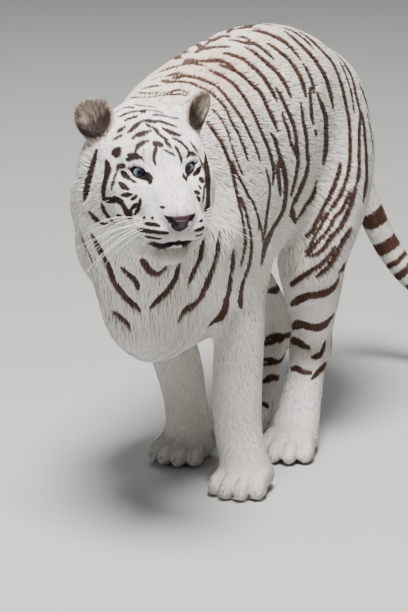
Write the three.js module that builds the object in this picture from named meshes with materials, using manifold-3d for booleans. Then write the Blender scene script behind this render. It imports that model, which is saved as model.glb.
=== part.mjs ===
// White tiger, adult, life size, as a still display model.
// It stands with its feet drawn together, back arched, neck low and the head turned
// to its left. Millimetres, +Z up. The tiger faces -Y and its left side is +X.
// The origin is on the floor, under the middle of the box that bounds the whole animal.
//
// The body is one blended volume: tapered tubes along the trunk, neck, legs and tail,
// with rounded masses for the shoulders, skull, cheeks, muzzle and toes. The volume is
// turned into a faceted surface, thinned where it is smooth, and parted by thin cuts
// into the head, ears, neck, trunk lengths, legs, paws and tail lengths.
// Eyes, nose leather and claws are pieces of their own.

import * as THREE from "three";
import { mergeVertices } from "three/addons/utils/BufferGeometryUtils.js";
import Module from "manifold-3d";

// ---------------------------------------------------------------- driving sizes
const WITHERS_HEIGHT = 905; // top of the shoulders above the floor, coat included
const CHEST_FLOOR = 276; // lowest point of the brisket above the floor
const PAW_CUT = 100; // height of the joint between paw and leg
const GAP = 0.3; // gap between neighbouring pieces
const EYE_SPACING = 102; // between the eyeball centres
const EYE_RADIUS = 18.5;
const HEAD_TURN = 38.6; // degrees to the tiger's left
const HEAD_DIP = 6.3; // degrees nose down
const HEAD_TILT = 0.5; // degrees, left side higher
const HEAD_PLACE = [70, -455, 771]; // midpoint between the eyes
const ORIGIN = [38.5, 197.5, 0]; // middle of the bounding box at the floor, in the working axes
const COARSE = 9.5; // sampling step of the body
const FINE = 5; // sampling step of the head and paws
const BODY_TRIANGLES = 3000;
const HEAD_TRIANGLES = 1900;
const PAW_TRIANGLES = 950;
const FORE_CLAW = 15; // length of claw that shows past the toe
const HIND_CLAW = 12;

// ---------------------------------------------------------------- colours of the coat
const look = (color, roughness) =>
  new THREE.MeshStandardMaterial({ color, roughness, metalness: 0 });
const COAT = 0xe4ddd2,
  EAR_GREY = 0x9b9087,
  BAND = 0xcfc5b8,
  LEATHER = 0xb08d8f,
  IRIS = 0x9fb8c8,
  HORN = 0xb9a58c;

// ---------------------------------------------------------------- vectors and turns
const V = (x, y, z) => new THREE.Vector3(x, y, z);
const rad = (d) => (d * Math.PI) / 180;

// Axes (left, forward, up) of something that faces -Y, turned to its left, dipped and tilted.
function facing(turn = 0, dip = 0, tilt = 0) {
  const y = rad(turn),
    p = rad(dip),
    r = rad(tilt);
  const forward = V(Math.sin(y) * Math.cos(p), -Math.cos(y) * Math.cos(p), -Math.sin(p));
  const left0 = V(Math.cos(y), Math.sin(y), 0);
  const up0 = V(Math.sin(y) * Math.sin(p), -Math.cos(y) * Math.sin(p), Math.cos(p));
  const left = left0.clone().multiplyScalar(Math.cos(r)).addScaledVector(up0, Math.sin(r));
  const up = up0.clone().multiplyScalar(Math.cos(r)).addScaledVector(left0, -Math.sin(r));
  return [left, forward, up];
}
// Turns a set of axes about its own three axes: x, then y, then z.
function turned(axes, ax, ay, az) {
  const e = new THREE.Matrix4().makeRotationFromEuler(
    new THREE.Euler(rad(ax), rad(ay), rad(az), "ZYX"),
  );
  const m = e.elements; // column-major
  return [0, 1, 2].map((i) =>
    V(0, 0, 0)
      .addScaledVector(axes[0], m[4 * i])
      .addScaledVector(axes[1], m[4 * i + 1])
      .addScaledVector(axes[2], m[4 * i + 2]),
  );
}
const WORLD = [V(1, 0, 0), V(0, 1, 0), V(0, 0, 1)];
const at = (origin, axes, l, f, u) =>
  V(...origin).addScaledVector(axes[0], l).addScaledVector(axes[1], f).addScaledVector(axes[2], u);
const HEAD = facing(HEAD_TURN, HEAD_DIP, HEAD_TILT);
const headPoint = (l, f, u) => at(HEAD_PLACE, HEAD, l, f, u);

// ---------------------------------------------------------------- blended volumes
// A tube with an oval section that changes along its length. Each row is
// x, y, z, half-width, reach toward `toward`, reach away from it.
function tube(rows, toward, blend, steps = 4) {
  const row = [];
  const m = rows.length;
  for (let i = 0; i < m - 1; i++)
    for (let j = 0; j < steps; j++) {
      const t = j / steps,
        a = rows[Math.max(i - 1, 0)],
        b = rows[i],
        c = rows[i + 1],
        d = rows[Math.min(i + 2, m - 1)];
      row.push(
        b.map(
          (v, k) =>
            0.5 *
            (2 * v +
              (-a[k] + c[k]) * t +
              (2 * a[k] - 5 * v + 4 * c[k] - d[k]) * t * t +
              (-a[k] + 3 * v - 3 * c[k] + d[k]) * t * t * t),
        ),
      );
    }
  row.push(rows[m - 1]);
  const n = row.length,
    P = row.map((r) => V(r[0], r[1], r[2]));
  const ref = V(...toward);
  const frames = P.map((p, i) => {
    const lo = P[Math.max(i - 1, 0)],
      hi = P[Math.min(i + 1, n - 1)];
    const t = hi.clone().sub(lo).normalize();
    const v = ref.clone().addScaledVector(t, -t.dot(ref)).normalize();
    return [t.clone().cross(v), v];
  });
  const seg = [];
  for (let i = 0; i < n - 1; i++) {
    const d = P[i + 1].clone().sub(P[i]);
    const s = frames[i][0].clone().add(frames[i + 1][0]).normalize();
    const v = frames[i][1].clone().add(frames[i + 1][1]).normalize();
    const L = d.length();
    seg.push([
      P[i].x, P[i].y, P[i].z, d.x, d.y, d.z, L,
      s.x, s.y, s.z, v.x, v.y, v.z,
      Math.max(row[i][3], 1), Math.max(row[i + 1][3], 1),
      Math.max(row[i][4], 1), Math.max(row[i + 1][4], 1),
      Math.max(row[i][5], 1), Math.max(row[i + 1][5], 1),
    ]);
  }
  const reach = row.map((r) => Math.max(r[3], r[4], r[5]));
  const lo = [0, 1, 2].map((k) => Math.min(...row.map((r, i) => r[k] - reach[i])));
  const hi = [0, 1, 2].map((k) => Math.max(...row.map((r, i) => r[k] + reach[i])));
  const dist = (x, y, z) => {
    let best = 1e9;
    for (const g of seg) {
      const qx = x - g[0],
        qy = y - g[1],
        qz = z - g[2];
      let u = (qx * g[3] + qy * g[4] + qz * g[5]) / (g[6] * g[6]);
      u = u < 0 ? 0 : u > 1 ? 1 : u;
      const rx = qx - u * g[3],
        ry = qy - u * g[4],
        rz = qz - u * g[5];
      const a = rx * g[7] + ry * g[8] + rz * g[9],
        b = rx * g[10] + ry * g[11] + rz * g[12],
        c = (rx * g[3] + ry * g[4] + rz * g[5]) / g[6];
      const w = g[13] + u * (g[14] - g[13]);
      const h = b > 0 ? g[15] + u * (g[16] - g[15]) : g[17] + u * (g[18] - g[17]);
      const e = w < h ? w : h;
      const pa = a / w,
        pb = b / h,
        pc = c / e;
      const k0 = Math.sqrt(pa * pa + pb * pb + pc * pc) + 1e-9;
      const k1 = Math.sqrt((pa / w) ** 2 + (pb / h) ** 2 + (pc / e) ** 2) + 1e-9;
      const v = (k0 * (k0 - 1)) / k1;
      if (v < best) best = v;
    }
    return best;
  };
  return { lo, hi, blend, dist };
}
// A rounded mass: centre, three radii along its own axes.
function mass(centre, r, axes, blend, hollow = false) {
  const R = Math.max(...r),
    c = centre;
  const [A, B, C] = axes;
  const dist = (x, y, z) => {
    const qx = x - c.x,
      qy = y - c.y,
      qz = z - c.z;
    const a = (qx * A.x + qy * A.y + qz * A.z) / r[0],
      b = (qx * B.x + qy * B.y + qz * B.z) / r[1],
      d = (qx * C.x + qy * C.y + qz * C.z) / r[2];
    const k0 = Math.sqrt(a * a + b * b + d * d) + 1e-9;
    const k1 = Math.sqrt((a / r[0]) ** 2 + (b / r[1]) ** 2 + (d / r[2]) ** 2) + 1e-9;
    return (k0 * (k0 - 1)) / k1;
  };
  return {
    lo: [c.x - R, c.y - R, c.z - R],
    hi: [c.x + R, c.y + R, c.z + R],
    blend,
    dist,
    hollow,
  };
}

// ---------------------------------------------------------------- the animal's form
const form = [];
const sides = [1, -1]; // left, right

// Trunk and neck, from stations along the spine:
// y, sideways shift, top, bottom, half-width, height of the widest line as a share.
const stations = (rows) =>
  rows.map(([y, x, top, bottom, half, share]) => {
    const z = bottom + (top - bottom) * share;
    return [x, y, z, half, top - z, z - bottom];
  });
const UP = [0, 0, 1],
  AHEAD = [0, -1, 0];
form.push(
  tube(
    stations([
      [-225, -64, 745, 335, 92, 0.45], // breast
      [-150, -62, 808, CHEST_FLOOR + 9, 120, 0.44],
      [-50, -52, 878, CHEST_FLOOR, 142, 0.46], // shoulders
      [60, -38, WITHERS_HEIGHT + 3, 322, 160, 0.5], // withers
      [180, -24, 914, 400, 172, 0.5],
      [300, -12, 918, 455, 164, 0.5], // top of the arched back
      [400, -4, 903, 502, 156, 0.52],
      [490, 2, 866, 550, 146, 0.54], // hips
      [580, 4, 820, 600, 126, 0.54],
      [650, 0, 778, 645, 84, 0.54],
      [700, 0, 735, 675, 50, 0.5], // tail root
    ]),
    UP,
    40,
  ),
  tube(
    stations([
      [0, -46, 880, 440, 132, 0.5],
      [-100, -52, 826, 405, 129, 0.48],
      [-190, -54, 780, 420, 124, 0.5],
      [-270, -56, 764, 475, 118, 0.53],
      [-340, -56, 760, 560, 108, 0.55],
    ]),
    UP,
    50,
  ),
);

// Shoulder blades and upper arms.
form.push(
  mass(V(46, -40, 640), [70, 112, 200], turned(WORLD, 14, -8, 0), 60),
  mass(V(-132, -36, 606), [66, 112, 178], turned(WORLD, 14, 8, 0), 60),
  tube(
    [
      [58, -160, 575, 60, 80, 70],
      [60, -95, 520, 55, 82, 80],
      [70, 10, 468, 50, 78, 62],
    ],
    AHEAD,
    55,
  ),
  tube(
    [
      [-168, -150, 555, 62, 80, 72],
      [-176, -80, 500, 66, 84, 86],
      [-172, 30, 440, 60, 80, 70],
    ],
    AHEAD,
    55,
  ),
);

// Forelegs, elbow to paw: x, y, z, half-width, front, back.
form.push(
  tube(
    [
      [70, 10, 478, 50, 76, 70],
      [70, -3, 415, 51, 68, 70],
      [73, -12, 330, 52, 60, 62],
      [73, -22, 250, 53, 50, 50],
      [74, -28, 195, 53, 47, 45],
      [78, -35, 132, 52, 43, 41],
      [89, -42, 85, 51, 44, 42],
      [98, -48, 45, 54, 48, 50],
    ],
    AHEAD,
    30,
  ),
  tube(
    [
      [-172, 40, 455, 62, 74, 72],
      [-158, 52, 395, 62, 66, 68],
      [-134, 78, 318, 58, 56, 58],
      [-116, 100, 245, 54, 47, 47],
      [-106, 114, 192, 52, 45, 43],
      [-99, 126, 132, 48, 41, 40],
      [-94, 132, 82, 50, 43, 41],
      [-92, 128, 45, 54, 47, 50],
    ],
    AHEAD,
    30,
  ),
);

// Hind legs, hip to hock, then hock to paw.
const LEG_FACE = [0, -1, 0.3],
  FOOT_FACE = [0, -1, 0.6];
form.push(
  tube(
    [
      [66, 560, 700, 85, 95, 90],
      [92, 510, 640, 98, 140, 140],
      [114, 425, 560, 97, 130, 135],
      [124, 345, 488, 88, 98, 116],
      [124, 305, 415, 74, 72, 98], // knee
      [118, 325, 345, 64, 56, 84],
      [108, 362, 280, 52, 48, 62],
      [99, 388, 230, 45, 42, 48],
      [95, 395, 185, 42, 38, 46], // hock
    ],
    LEG_FACE,
    50,
  ),
  tube(
    [
      [-66, 590, 700, 85, 95, 90],
      [-90, 540, 640, 98, 140, 140],
      [-108, 465, 560, 97, 130, 135],
      [-112, 405, 488, 84, 98, 110],
      [-104, 396, 415, 66, 72, 78],
      [-78, 424, 345, 56, 56, 62],
      [-54, 468, 280, 50, 48, 52],
      [-36, 498, 230, 45, 42, 46],
      [-28, 508, 185, 42, 38, 46],
    ],
    LEG_FACE,
    50,
  ),
  tube(
    [
      [95, 390, 192, 42, 38, 46],
      [98, 352, 145, 42, 36, 36],
      [103, 305, 95, 46, 38, 36],
      [107, 262, 55, 52, 38, 38],
    ],
    FOOT_FACE,
    25,
  ),
  tube(
    [
      [-28, 504, 192, 42, 38, 46],
      [-29, 465, 145, 40, 36, 36],
      [-32, 418, 95, 44, 38, 36],
      [-35, 378, 55, 49, 38, 38],
    ],
    FOOT_FACE,
    25,
  ),
);

// Paws: where each stands, its turn, its size. Four toes round a broad pad.
const PAWS = {
  forepaw_left: { x: 102, y: -58, turn: 0, size: 1.08, claw: FORE_CLAW },
  forepaw_right: { x: -92, y: 112, turn: -6, size: 1.08, claw: FORE_CLAW },
  hindpaw_left: { x: 110, y: 212, turn: 4, size: 1.12, claw: HIND_CLAW },
  hindpaw_right: { x: -35, y: 332, turn: -2, size: 1.03, claw: HIND_CLAW },
};
const TOES = [
  [-42, 26, -6],
  [-14.5, 42, -2],
  [14.5, 42, 2],
  [42, 26, 6],
]; // sideways, forward, splay
for (const p of Object.values(PAWS)) {
  const axes = facing(p.turn),
    s = p.size;
  const on = (l, f, u) => at([p.x, p.y, 0], axes, l * s, f * s, u);
  form.push(mass(on(0, -14, 32), [52 * s, 58 * s, 36], axes, 22));
  for (const [l, f, splay] of TOES)
    form.push(
      tube(
        [
          [...on(l * 0.8, f - 34, 40), 13.5 * s, 16, 22], // knuckle
          [...on(l * 0.92, f - 8, 36), 15.5 * s, 17, 26],
          [...on(l, f + 14, 28), 16.5 * s, 18, 29.5],
          [...on(l * 1.02, f + 27, 20), 13.5 * s, 13, 17], // tip
        ],
        UP,
        11,
        2,
      ),
    );
}

// Tail: down from the rump, then out to the left, clear of the floor.
const TAIL = [
  [0, 680, 715, 48, 46, 46],
  [6, 750, 668, 39, 37, 37],
  [20, 812, 595, 33, 32, 32],
  [40, 860, 495, 32, 31, 31],
  [66, 895, 393, 31, 31, 31],
  [102, 918, 302, 30, 30, 30],
  [150, 930, 234, 29, 29, 29],
  [205, 935, 190, 27, 27, 27],
  [258, 930, 170, 24, 24, 24],
  [308, 920, 175, 17, 17, 17],
];
form.push(tube(TAIL, [0, 1, 0], 35));

// Head, in its own frame: left, forward, up from the midpoint between the eyes.
const headMass = (l, f, u, r, blend, swing = 0, slant = 0, hollow = false) =>
  form.push(mass(headPoint(l, f, u), r, turned(HEAD, 0, slant, swing), blend, hollow));
headMass(0, -112, 16, [90, 112, 84], 30); // braincase
headMass(0, -50, 8, [64, 66, 50], 35); // forehead
form.push(
  tube(
    [
      [0, -40, 14, 44, 24, 40],
      [0, 0, 4, 42, 20, 40],
      [0, 40, -15, 38, 18, 38],
      [0, 80, -36, 33, 16, 34],
      [0, 108, -52, 29, 14, 24],
    ].map(([l, f, u, ...r]) => [...headPoint(l, f, u).toArray(), ...r]),
    HEAD[2].toArray(),
    22,
    3,
  ), // bridge of the nose
);
for (const s of sides) {
  headMass(s * 46, -28, 22, [29, 28, 15], 20); // brow
  headMass(s * 66, -70, 4, [40, 50, 40], 30); // temple
  headMass(s * 72, -44, -34, [40, 62, 40], 30, -s * 14); // cheekbone
  headMass(s * 40, 14, -48, [32, 54, 34], 26, -s * 12); // below the eye
  headMass(s * 58, -14, -84, [42, 66, 46], 34, -s * 10); // cheek
  headMass(s * 29, 82, -90, [30, 42, 31], 14, -s * 12); // whisker pad
  headMass(s * 41, 44, -100, [27, 52, 28], 20, -s * 12); // upper lip
  headMass(s * 36, -22, -138, [37, 78, 32], 30, -s * 12); // jaw
  headMass(s * 50, 8, -112, [29, 50, 30], 24, -s * 12); // corner of the lips
  headMass(s * 24, 58, -64, [27, 44, 25], 20, -s * 8); // between pad and bridge
  headMass(s * 84, -84, -84, [50, 62, 66], 35); // jowl
  headMass(s * 92, -128, -52, [40, 46, 90], 35); // ruff behind the cheek
}
headMass(0, 110, -62, [30, 17, 18], 12); // nose
headMass(0, 89, -96, [26, 27, 26], 10); // middle of the upper lip
headMass(0, 56, -146, [36, 41, 30], 12); // chin
headMass(0, 70, -121, [43, 32, 13], 6); // lower lip
headMass(0, -20, -140, [52, 84, 36], 30); // under the jaw
headMass(0, 22, -84, [36, 52, 38], 16); // between the cheeks
headMass(0, -90, -116, [78, 80, 75], 45); // throat

// Ears: round, cupped forward, the left one carried a little lower.
const EARS = [
  { side: 1, out: 107, up: 72, lean: -50, size: [29, 19, 51] },
  { side: -1, out: 104, up: 73, lean: 16, size: [40, 20, 45] },
];
for (const { side: s, out, up, lean, size } of EARS) {
  const axes = facing(HEAD_TURN + s * 26, -6, HEAD_TILT + 2 + lean);
  const c = headPoint(s * out, -120, up);
  form.push(mass(c, size, axes, 18));
  form.push(mass(headPoint(s * 82, -118, 52), [30, 24, 28], axes, 24));
  form.push(mass(at(c.toArray(), axes, -s * 2, 22, 3), [size[0] - 10, 17, size[2] - 10], axes, 8, true));
}
// Openings between the eyelids, outer corners higher.
for (const s of sides) headMass(s * 53, 10, 0, [22, 22, 11], 7, 0, -s * 18, true);

// ---------------------------------------------------------------- volume to surface
const blendMin = (a, b, k) => {
  const h = Math.max(k - Math.abs(a - b), 0) / k;
  return Math.min(a, b) - h * h * k * 0.25;
};

// Samples the form on a grid inside a box and returns its closed surface.
function surface(lo, hi, step) {
  const n = [0, 1, 2].map((k) => Math.ceil((hi[k] - lo[k]) / step) + 1);
  const [nx, ny, nz] = n;
  const D = new Float32Array(nx * ny * nz).fill(1000);
  const id = (i, j, k) => (i * ny + j) * nz + k;
  for (const part of form) {
    const m = part.blend + 2.5 * step;
    const a = [0, 1, 2].map((k) => Math.max(0, Math.ceil((part.lo[k] - m - lo[k]) / step)));
    const b = [0, 1, 2].map((k) => Math.min(n[k] - 1, Math.floor((part.hi[k] + m - lo[k]) / step)));
    for (let i = a[0]; i <= b[0]; i++)
      for (let j = a[1]; j <= b[1]; j++)
        for (let k = a[2]; k <= b[2]; k++) {
          const q = id(i, j, k);
          const d = part.dist(lo[0] + i * step, lo[1] + j * step, lo[2] + k * step);
          D[q] = part.hollow ? -blendMin(-D[q], d, part.blend) : blendMin(D[q], d, part.blend);
        }
  }
  for (let i = 0; i < nx; i++)
    for (let j = 0; j < ny; j++)
      for (let k = 0; k < nz; k++)
        if (i === 0 || j === 0 || k === 0 || i === nx - 1 || j === ny - 1 || k === nz - 1)
          D[id(i, j, k)] = Math.max(D[id(i, j, k)], 1);

  // Corners are filled in until, in each cell, inside and outside both hang together.
  const corner = [];
  for (let c = 0; c < 8; c++) corner.push([c >> 2, (c >> 1) & 1, c & 1]);
  const whole = [];
  for (let mask = 0; mask < 256; mask++) {
    const one = (want) => {
      const set = [...Array(8).keys()].filter((c) => ((mask >> c) & 1) === want);
      if (!set.length) return true;
      const seen = new Set([set[0]]),
        todo = [set[0]];
      while (todo.length) {
        const c = todo.pop();
        for (const bit of [1, 2, 4]) {
          const d = c ^ bit;
          if (set.includes(d) && !seen.has(d)) {
            seen.add(d);
            todo.push(d);
          }
        }
      }
      return seen.size === set.length;
    };
    whole.push(one(1) && one(0));
  }
  const maskAt = (i, j, k) => {
    let m = 0;
    for (let c = 0; c < 8; c++)
      if (D[id(i + corner[c][0], j + corner[c][1], k + corner[c][2])] < 0) m |= 1 << c;
    return m;
  };
  for (let pass = 0, changed = true; changed && pass < 30; pass++) {
    changed = false;
    for (let i = 0; i < nx - 1; i++)
      for (let j = 0; j < ny - 1; j++)
        for (let k = 0; k < nz - 1; k++) {
          const m = maskAt(i, j, k);
          if (m === 0 || m === 255 || whole[m]) continue;
          let best = -1,
            low = 1e9;
          for (let c = 0; c < 8; c++) {
            const [a, b, e] = [i + corner[c][0], j + corner[c][1], k + corner[c][2]];
            if (!a || !b || !e || a === nx - 1 || b === ny - 1 || e === nz - 1) continue;
            const q = id(a, b, e);
            if (D[q] >= 0 && D[q] < low) {
              low = D[q];
              best = q;
            }
          }
          if (best < 0) continue;
          D[best] = -0.02 * step;
          changed = true;
        }
  }

  // One vertex in each cell that the surface crosses, one square across each crossed edge.
  const cell = new Int32Array(nx * ny * nz).fill(-1);
  const pts = [];
  for (let i = 0; i < nx - 1; i++)
    for (let j = 0; j < ny - 1; j++)
      for (let k = 0; k < nz - 1; k++) {
        const m = maskAt(i, j, k);
        if (m === 0 || m === 255) continue;
        let sx = 0,
          sy = 0,
          sz = 0,
          cnt = 0;
        for (let c = 0; c < 8; c++)
          for (const bit of [4, 2, 1]) {
            if (c & bit) continue;
            const e = c | bit;
            if (((m >> c) & 1) === ((m >> e) & 1)) continue;
            const A = corner[c],
              B = corner[e];
            const da = D[id(i + A[0], j + A[1], k + A[2])],
              db = D[id(i + B[0], j + B[1], k + B[2])];
            const t = da / (da - db);
            sx += A[0] + (B[0] - A[0]) * t;
            sy += A[1] + (B[1] - A[1]) * t;
            sz += A[2] + (B[2] - A[2]) * t;
            cnt++;
          }
        cell[id(i, j, k)] = pts.length;
        pts.push([
          lo[0] + (i + sx / cnt) * step,
          lo[1] + (j + sy / cnt) * step,
          lo[2] + (k + sz / cnt) * step,
        ]);
      }
  const tris = [];
  const quad = (a, b, c, d, flip) => {
    if (flip) [b, d] = [d, b];
    const L = (p, q) =>
      (pts[p][0] - pts[q][0]) ** 2 + (pts[p][1] - pts[q][1]) ** 2 + (pts[p][2] - pts[q][2]) ** 2;
    if (L(a, c) < L(b, d)) tris.push([a, b, c], [a, c, d]);
    else tris.push([a, b, d], [b, c, d]);
  };
  for (let i = 0; i < nx - 1; i++)
    for (let j = 0; j < ny - 1; j++)
      for (let k = 0; k < nz - 1; k++) {
        const s = D[id(i, j, k)] < 0;
        if (s !== D[id(i + 1, j, k)] < 0)
          quad(cell[id(i, j - 1, k - 1)], cell[id(i, j, k - 1)], cell[id(i, j, k)], cell[id(i, j - 1, k)], !s);
        if (s !== D[id(i, j + 1, k)] < 0)
          quad(cell[id(i - 1, j, k - 1)], cell[id(i - 1, j, k)], cell[id(i, j, k)], cell[id(i, j, k - 1)], !s);
        if (s !== D[id(i, j, k + 1)] < 0)
          quad(cell[id(i - 1, j - 1, k)], cell[id(i, j - 1, k)], cell[id(i, j, k)], cell[id(i - 1, j, k)], !s);
      }
  return { pts, tris };
}

// Evens out the surface without shrinking it.
function relax({ pts, tris }, rounds) {
  const next = pts.map(() => new Set());
  for (const [a, b, c] of tris) {
    next[a].add(b).add(c);
    next[b].add(a).add(c);
    next[c].add(a).add(b);
  }
  const around = next.map((s) => [...s]);
  for (let r = 0; r < rounds * 2; r++) {
    const f = r % 2 ? -0.53 : 0.5;
    const moved = pts.map((p, i) => {
      const q = [0, 0, 0];
      for (const j of around[i]) for (let k = 0; k < 3; k++) q[k] += pts[j][k] / around[i].length;
      return p.map((v, k) => v + f * (q[k] - v));
    });
    moved.forEach((p, i) => (pts[i] = p));
  }
  return { pts, tris };
}

// Joins the ends of the edges that matter least to the shape until `want` triangles are left.
function thin({ pts, tris }, want) {
  const n = pts.length;
  const Q = Array.from({ length: n }, () => new Float64Array(10));
  const cross = (a, b) => [a[1] * b[2] - a[2] * b[1], a[2] * b[0] - a[0] * b[2], a[0] * b[1] - a[1] * b[0]];
  const sub = (a, b) => [a[0] - b[0], a[1] - b[1], a[2] - b[2]];
  const dot = (a, b) => a[0] * b[0] + a[1] * b[1] + a[2] * b[2];
  const faces = tris.map((t) => [...t]);
  const live = new Uint8Array(faces.length).fill(1);
  const of = Array.from({ length: n }, () => new Set());
  faces.forEach((t, f) => {
    t.forEach((v) => of[v].add(f));
    const N = cross(sub(pts[t[1]], pts[t[0]]), sub(pts[t[2]], pts[t[0]]));
    const len = Math.sqrt(dot(N, N)) + 1e-12;
    const u = N.map((v) => v / len),
      w = Math.sqrt(len);
    const d = -dot(u, pts[t[0]]);
    const q = [u[0] * u[0], u[0] * u[1], u[0] * u[2], u[0] * d, u[1] * u[1], u[1] * u[2], u[1] * d, u[2] * u[2], u[2] * d, d * d];
    for (const v of t) for (let i = 0; i < 10; i++) Q[v][i] += q[i] * w;
  });
  const stamp = new Uint32Array(n);
  const heap = [];
  const up = (i) => {
    const e = heap[i];
    while (i > 0) {
      const p = (i - 1) >> 1;
      if (heap[p][0] <= e[0]) break;
      heap[i] = heap[p];
      i = p;
    }
    heap[i] = e;
  };
  const pop = () => {
    const top = heap[0],
      e = heap.pop();
    if (heap.length) {
      let i = 0;
      for (;;) {
        let c = 2 * i + 1;
        if (c >= heap.length) break;
        if (c + 1 < heap.length && heap[c + 1][0] < heap[c][0]) c++;
        if (heap[c][0] >= e[0]) break;
        heap[i] = heap[c];
        i = c;
      }
      heap[i] = e;
    }
    return top;
  };
  const cost = (q, [x, y, z]) =>
    q[0] * x * x + 2 * q[1] * x * y + 2 * q[2] * x * z + 2 * q[3] * x +
    q[4] * y * y + 2 * q[5] * y * z + 2 * q[6] * y + q[7] * z * z + 2 * q[8] * z + q[9];
  const push = (a, b) => {
    const q = Q[a].map((v, i) => v + Q[b][i]);
    const mid = pts[a].map((v, i) => (v + pts[b][i]) / 2);
    let best = mid,
      c = cost(q, mid);
    // the point of least error, where it is well defined
    const [a0, a1, a2, a3, a4, a5, a6, a7, a8] = q;
    const det = a0 * (a4 * a7 - a5 * a5) - a1 * (a1 * a7 - a5 * a2) + a2 * (a1 * a5 - a4 * a2);
    if (Math.abs(det) > 1e-3 * Math.pow(a0 + a4 + a7, 3) * 1e-2) {
      const x = -(a3 * (a4 * a7 - a5 * a5) - a1 * (a6 * a7 - a5 * a8) + a2 * (a6 * a5 - a4 * a8)) / det;
      const y = -(a0 * (a6 * a7 - a8 * a5) - a3 * (a1 * a7 - a5 * a2) + a2 * (a1 * a8 - a6 * a2)) / det;
      const z = -(a0 * (a4 * a8 - a5 * a6) - a1 * (a1 * a8 - a6 * a2) + a3 * (a1 * a5 - a4 * a2)) / det;
      const p = [x, y, z],
        far = Math.hypot(...sub(p, mid)),
        len = Math.hypot(...sub(pts[a], pts[b]));
      if (far < len * 1.2) {
        const cc = cost(q, p);
        if (cc < c) {
          c = cc;
          best = p;
        }
      }
    }
    const len2 = (pts[a][0] - pts[b][0]) ** 2 + (pts[a][1] - pts[b][1]) ** 2 + (pts[a][2] - pts[b][2]) ** 2;
    heap.push([Math.max(c, 0) + 1e-4 * len2, a, b, stamp[a], stamp[b], best]);
    up(heap.length - 1);
  };
  const ring = (v) => {
    const s = new Set();
    for (const f of of[v]) for (const w of faces[f]) if (w !== v) s.add(w);
    return s;
  };
  for (let a = 0; a < n; a++) for (const b of ring(a)) if (a < b) push(a, b);
  let count = faces.length;
  while (count > want && heap.length) {
    const [, a, b, sa, sb, p] = pop();
    if (stamp[a] !== sa || stamp[b] !== sb) continue;
    const ra = ring(a),
      rb = ring(b);
    let shared = 0,
      tight = false;
    for (const v of ra)
      if (rb.has(v)) {
        shared++;
        if (ring(v).size <= 3) tight = true;
      }
    if (shared !== 2 || tight) continue;
    let turns = false;
    for (const [v, o] of [[a, b], [b, a]])
      for (const f of of[v]) {
        const t = faces[f];
        if (t.includes(o)) continue;
        const old = t.map((w) => pts[w]),
          now = t.map((w) => (w === v ? p : pts[w]));
        const N0 = cross(sub(old[1], old[0]), sub(old[2], old[0])),
          N1 = cross(sub(now[1], now[0]), sub(now[2], now[0]));
        const l0 = Math.sqrt(dot(N0, N0)),
          l1 = Math.sqrt(dot(N1, N1));
        const longest = Math.max(dot(sub(now[1], now[0]), sub(now[1], now[0])), dot(sub(now[2], now[1]), sub(now[2], now[1])), dot(sub(now[0], now[2]), sub(now[0], now[2])));
        if (l1 < 0.05 * longest || dot(N0, N1) < 0.25 * l0 * l1) {
          turns = true;
          break;
        }
      }
    if (turns) continue;
    pts[a] = p;
    for (let i = 0; i < 10; i++) Q[a][i] += Q[b][i];
    for (const f of [...of[b]]) {
      const t = faces[f];
      if (t.includes(a)) {
        live[f] = 0;
        count--;
        for (const v of t) of[v].delete(f);
      } else {
        t[t.indexOf(b)] = a;
        of[a].add(f);
      }
    }
    of[b].clear();
    stamp[b]++;
    stamp[a]++;
    for (const v of ring(a)) push(a, v);
  }
  const use = new Map(),
    outPts = [],
    out = [];
  faces.forEach((t, f) => {
    if (!live[f]) return;
    out.push(
      t.map((v) => {
        if (!use.has(v)) {
          use.set(v, outPts.length);
          outPts.push(pts[v]);
        }
        return use.get(v);
      }),
    );
  });
  return { pts: outPts, tris: out };
}

// ---------------------------------------------------------------- joining and cutting
const wasm = await Module();
wasm.setup();
const solid = ({ pts, tris }) =>
  new wasm.Manifold(
    new wasm.Mesh({
      numProp: 3,
      vertProperties: new Float32Array(pts.flat()),
      triVerts: new Uint32Array(tris.flat()),
    }),
  );
function solidOf(geometry) {
  const g = geometry.clone();
  g.deleteAttribute("normal");
  g.deleteAttribute("uv");
  const m = mergeVertices(g, 1e-4);
  return new wasm.Manifold(
    new wasm.Mesh({
      numProp: 3,
      vertProperties: new Float32Array(m.attributes.position.array),
      triVerts: new Uint32Array(m.index.array),
    }),
  );
}
// A block from l0..l1, f0..f1, u0..u1 along three axes at an origin, grown on every side.
function block(origin, axes, [l0, l1], [f0, f1], [u0, u1], grow = 0) {
  const g = new THREE.BoxGeometry(l1 - l0 + 2 * grow, f1 - f0 + 2 * grow, u1 - u0 + 2 * grow);
  g.translate((l0 + l1) / 2, (f0 + f1) / 2, (u0 + u1) / 2);
  const m = new THREE.Matrix4().makeBasis(...axes).setPosition(V(...origin));
  g.applyMatrix4(m);
  if (m.determinant() < 0) {
    const idx = g.index.array;
    for (let i = 0; i < idx.length; i += 3) [idx[i + 1], idx[i + 2]] = [idx[i + 2], idx[i + 1]];
  }
  return solidOf(g);
}
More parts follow.
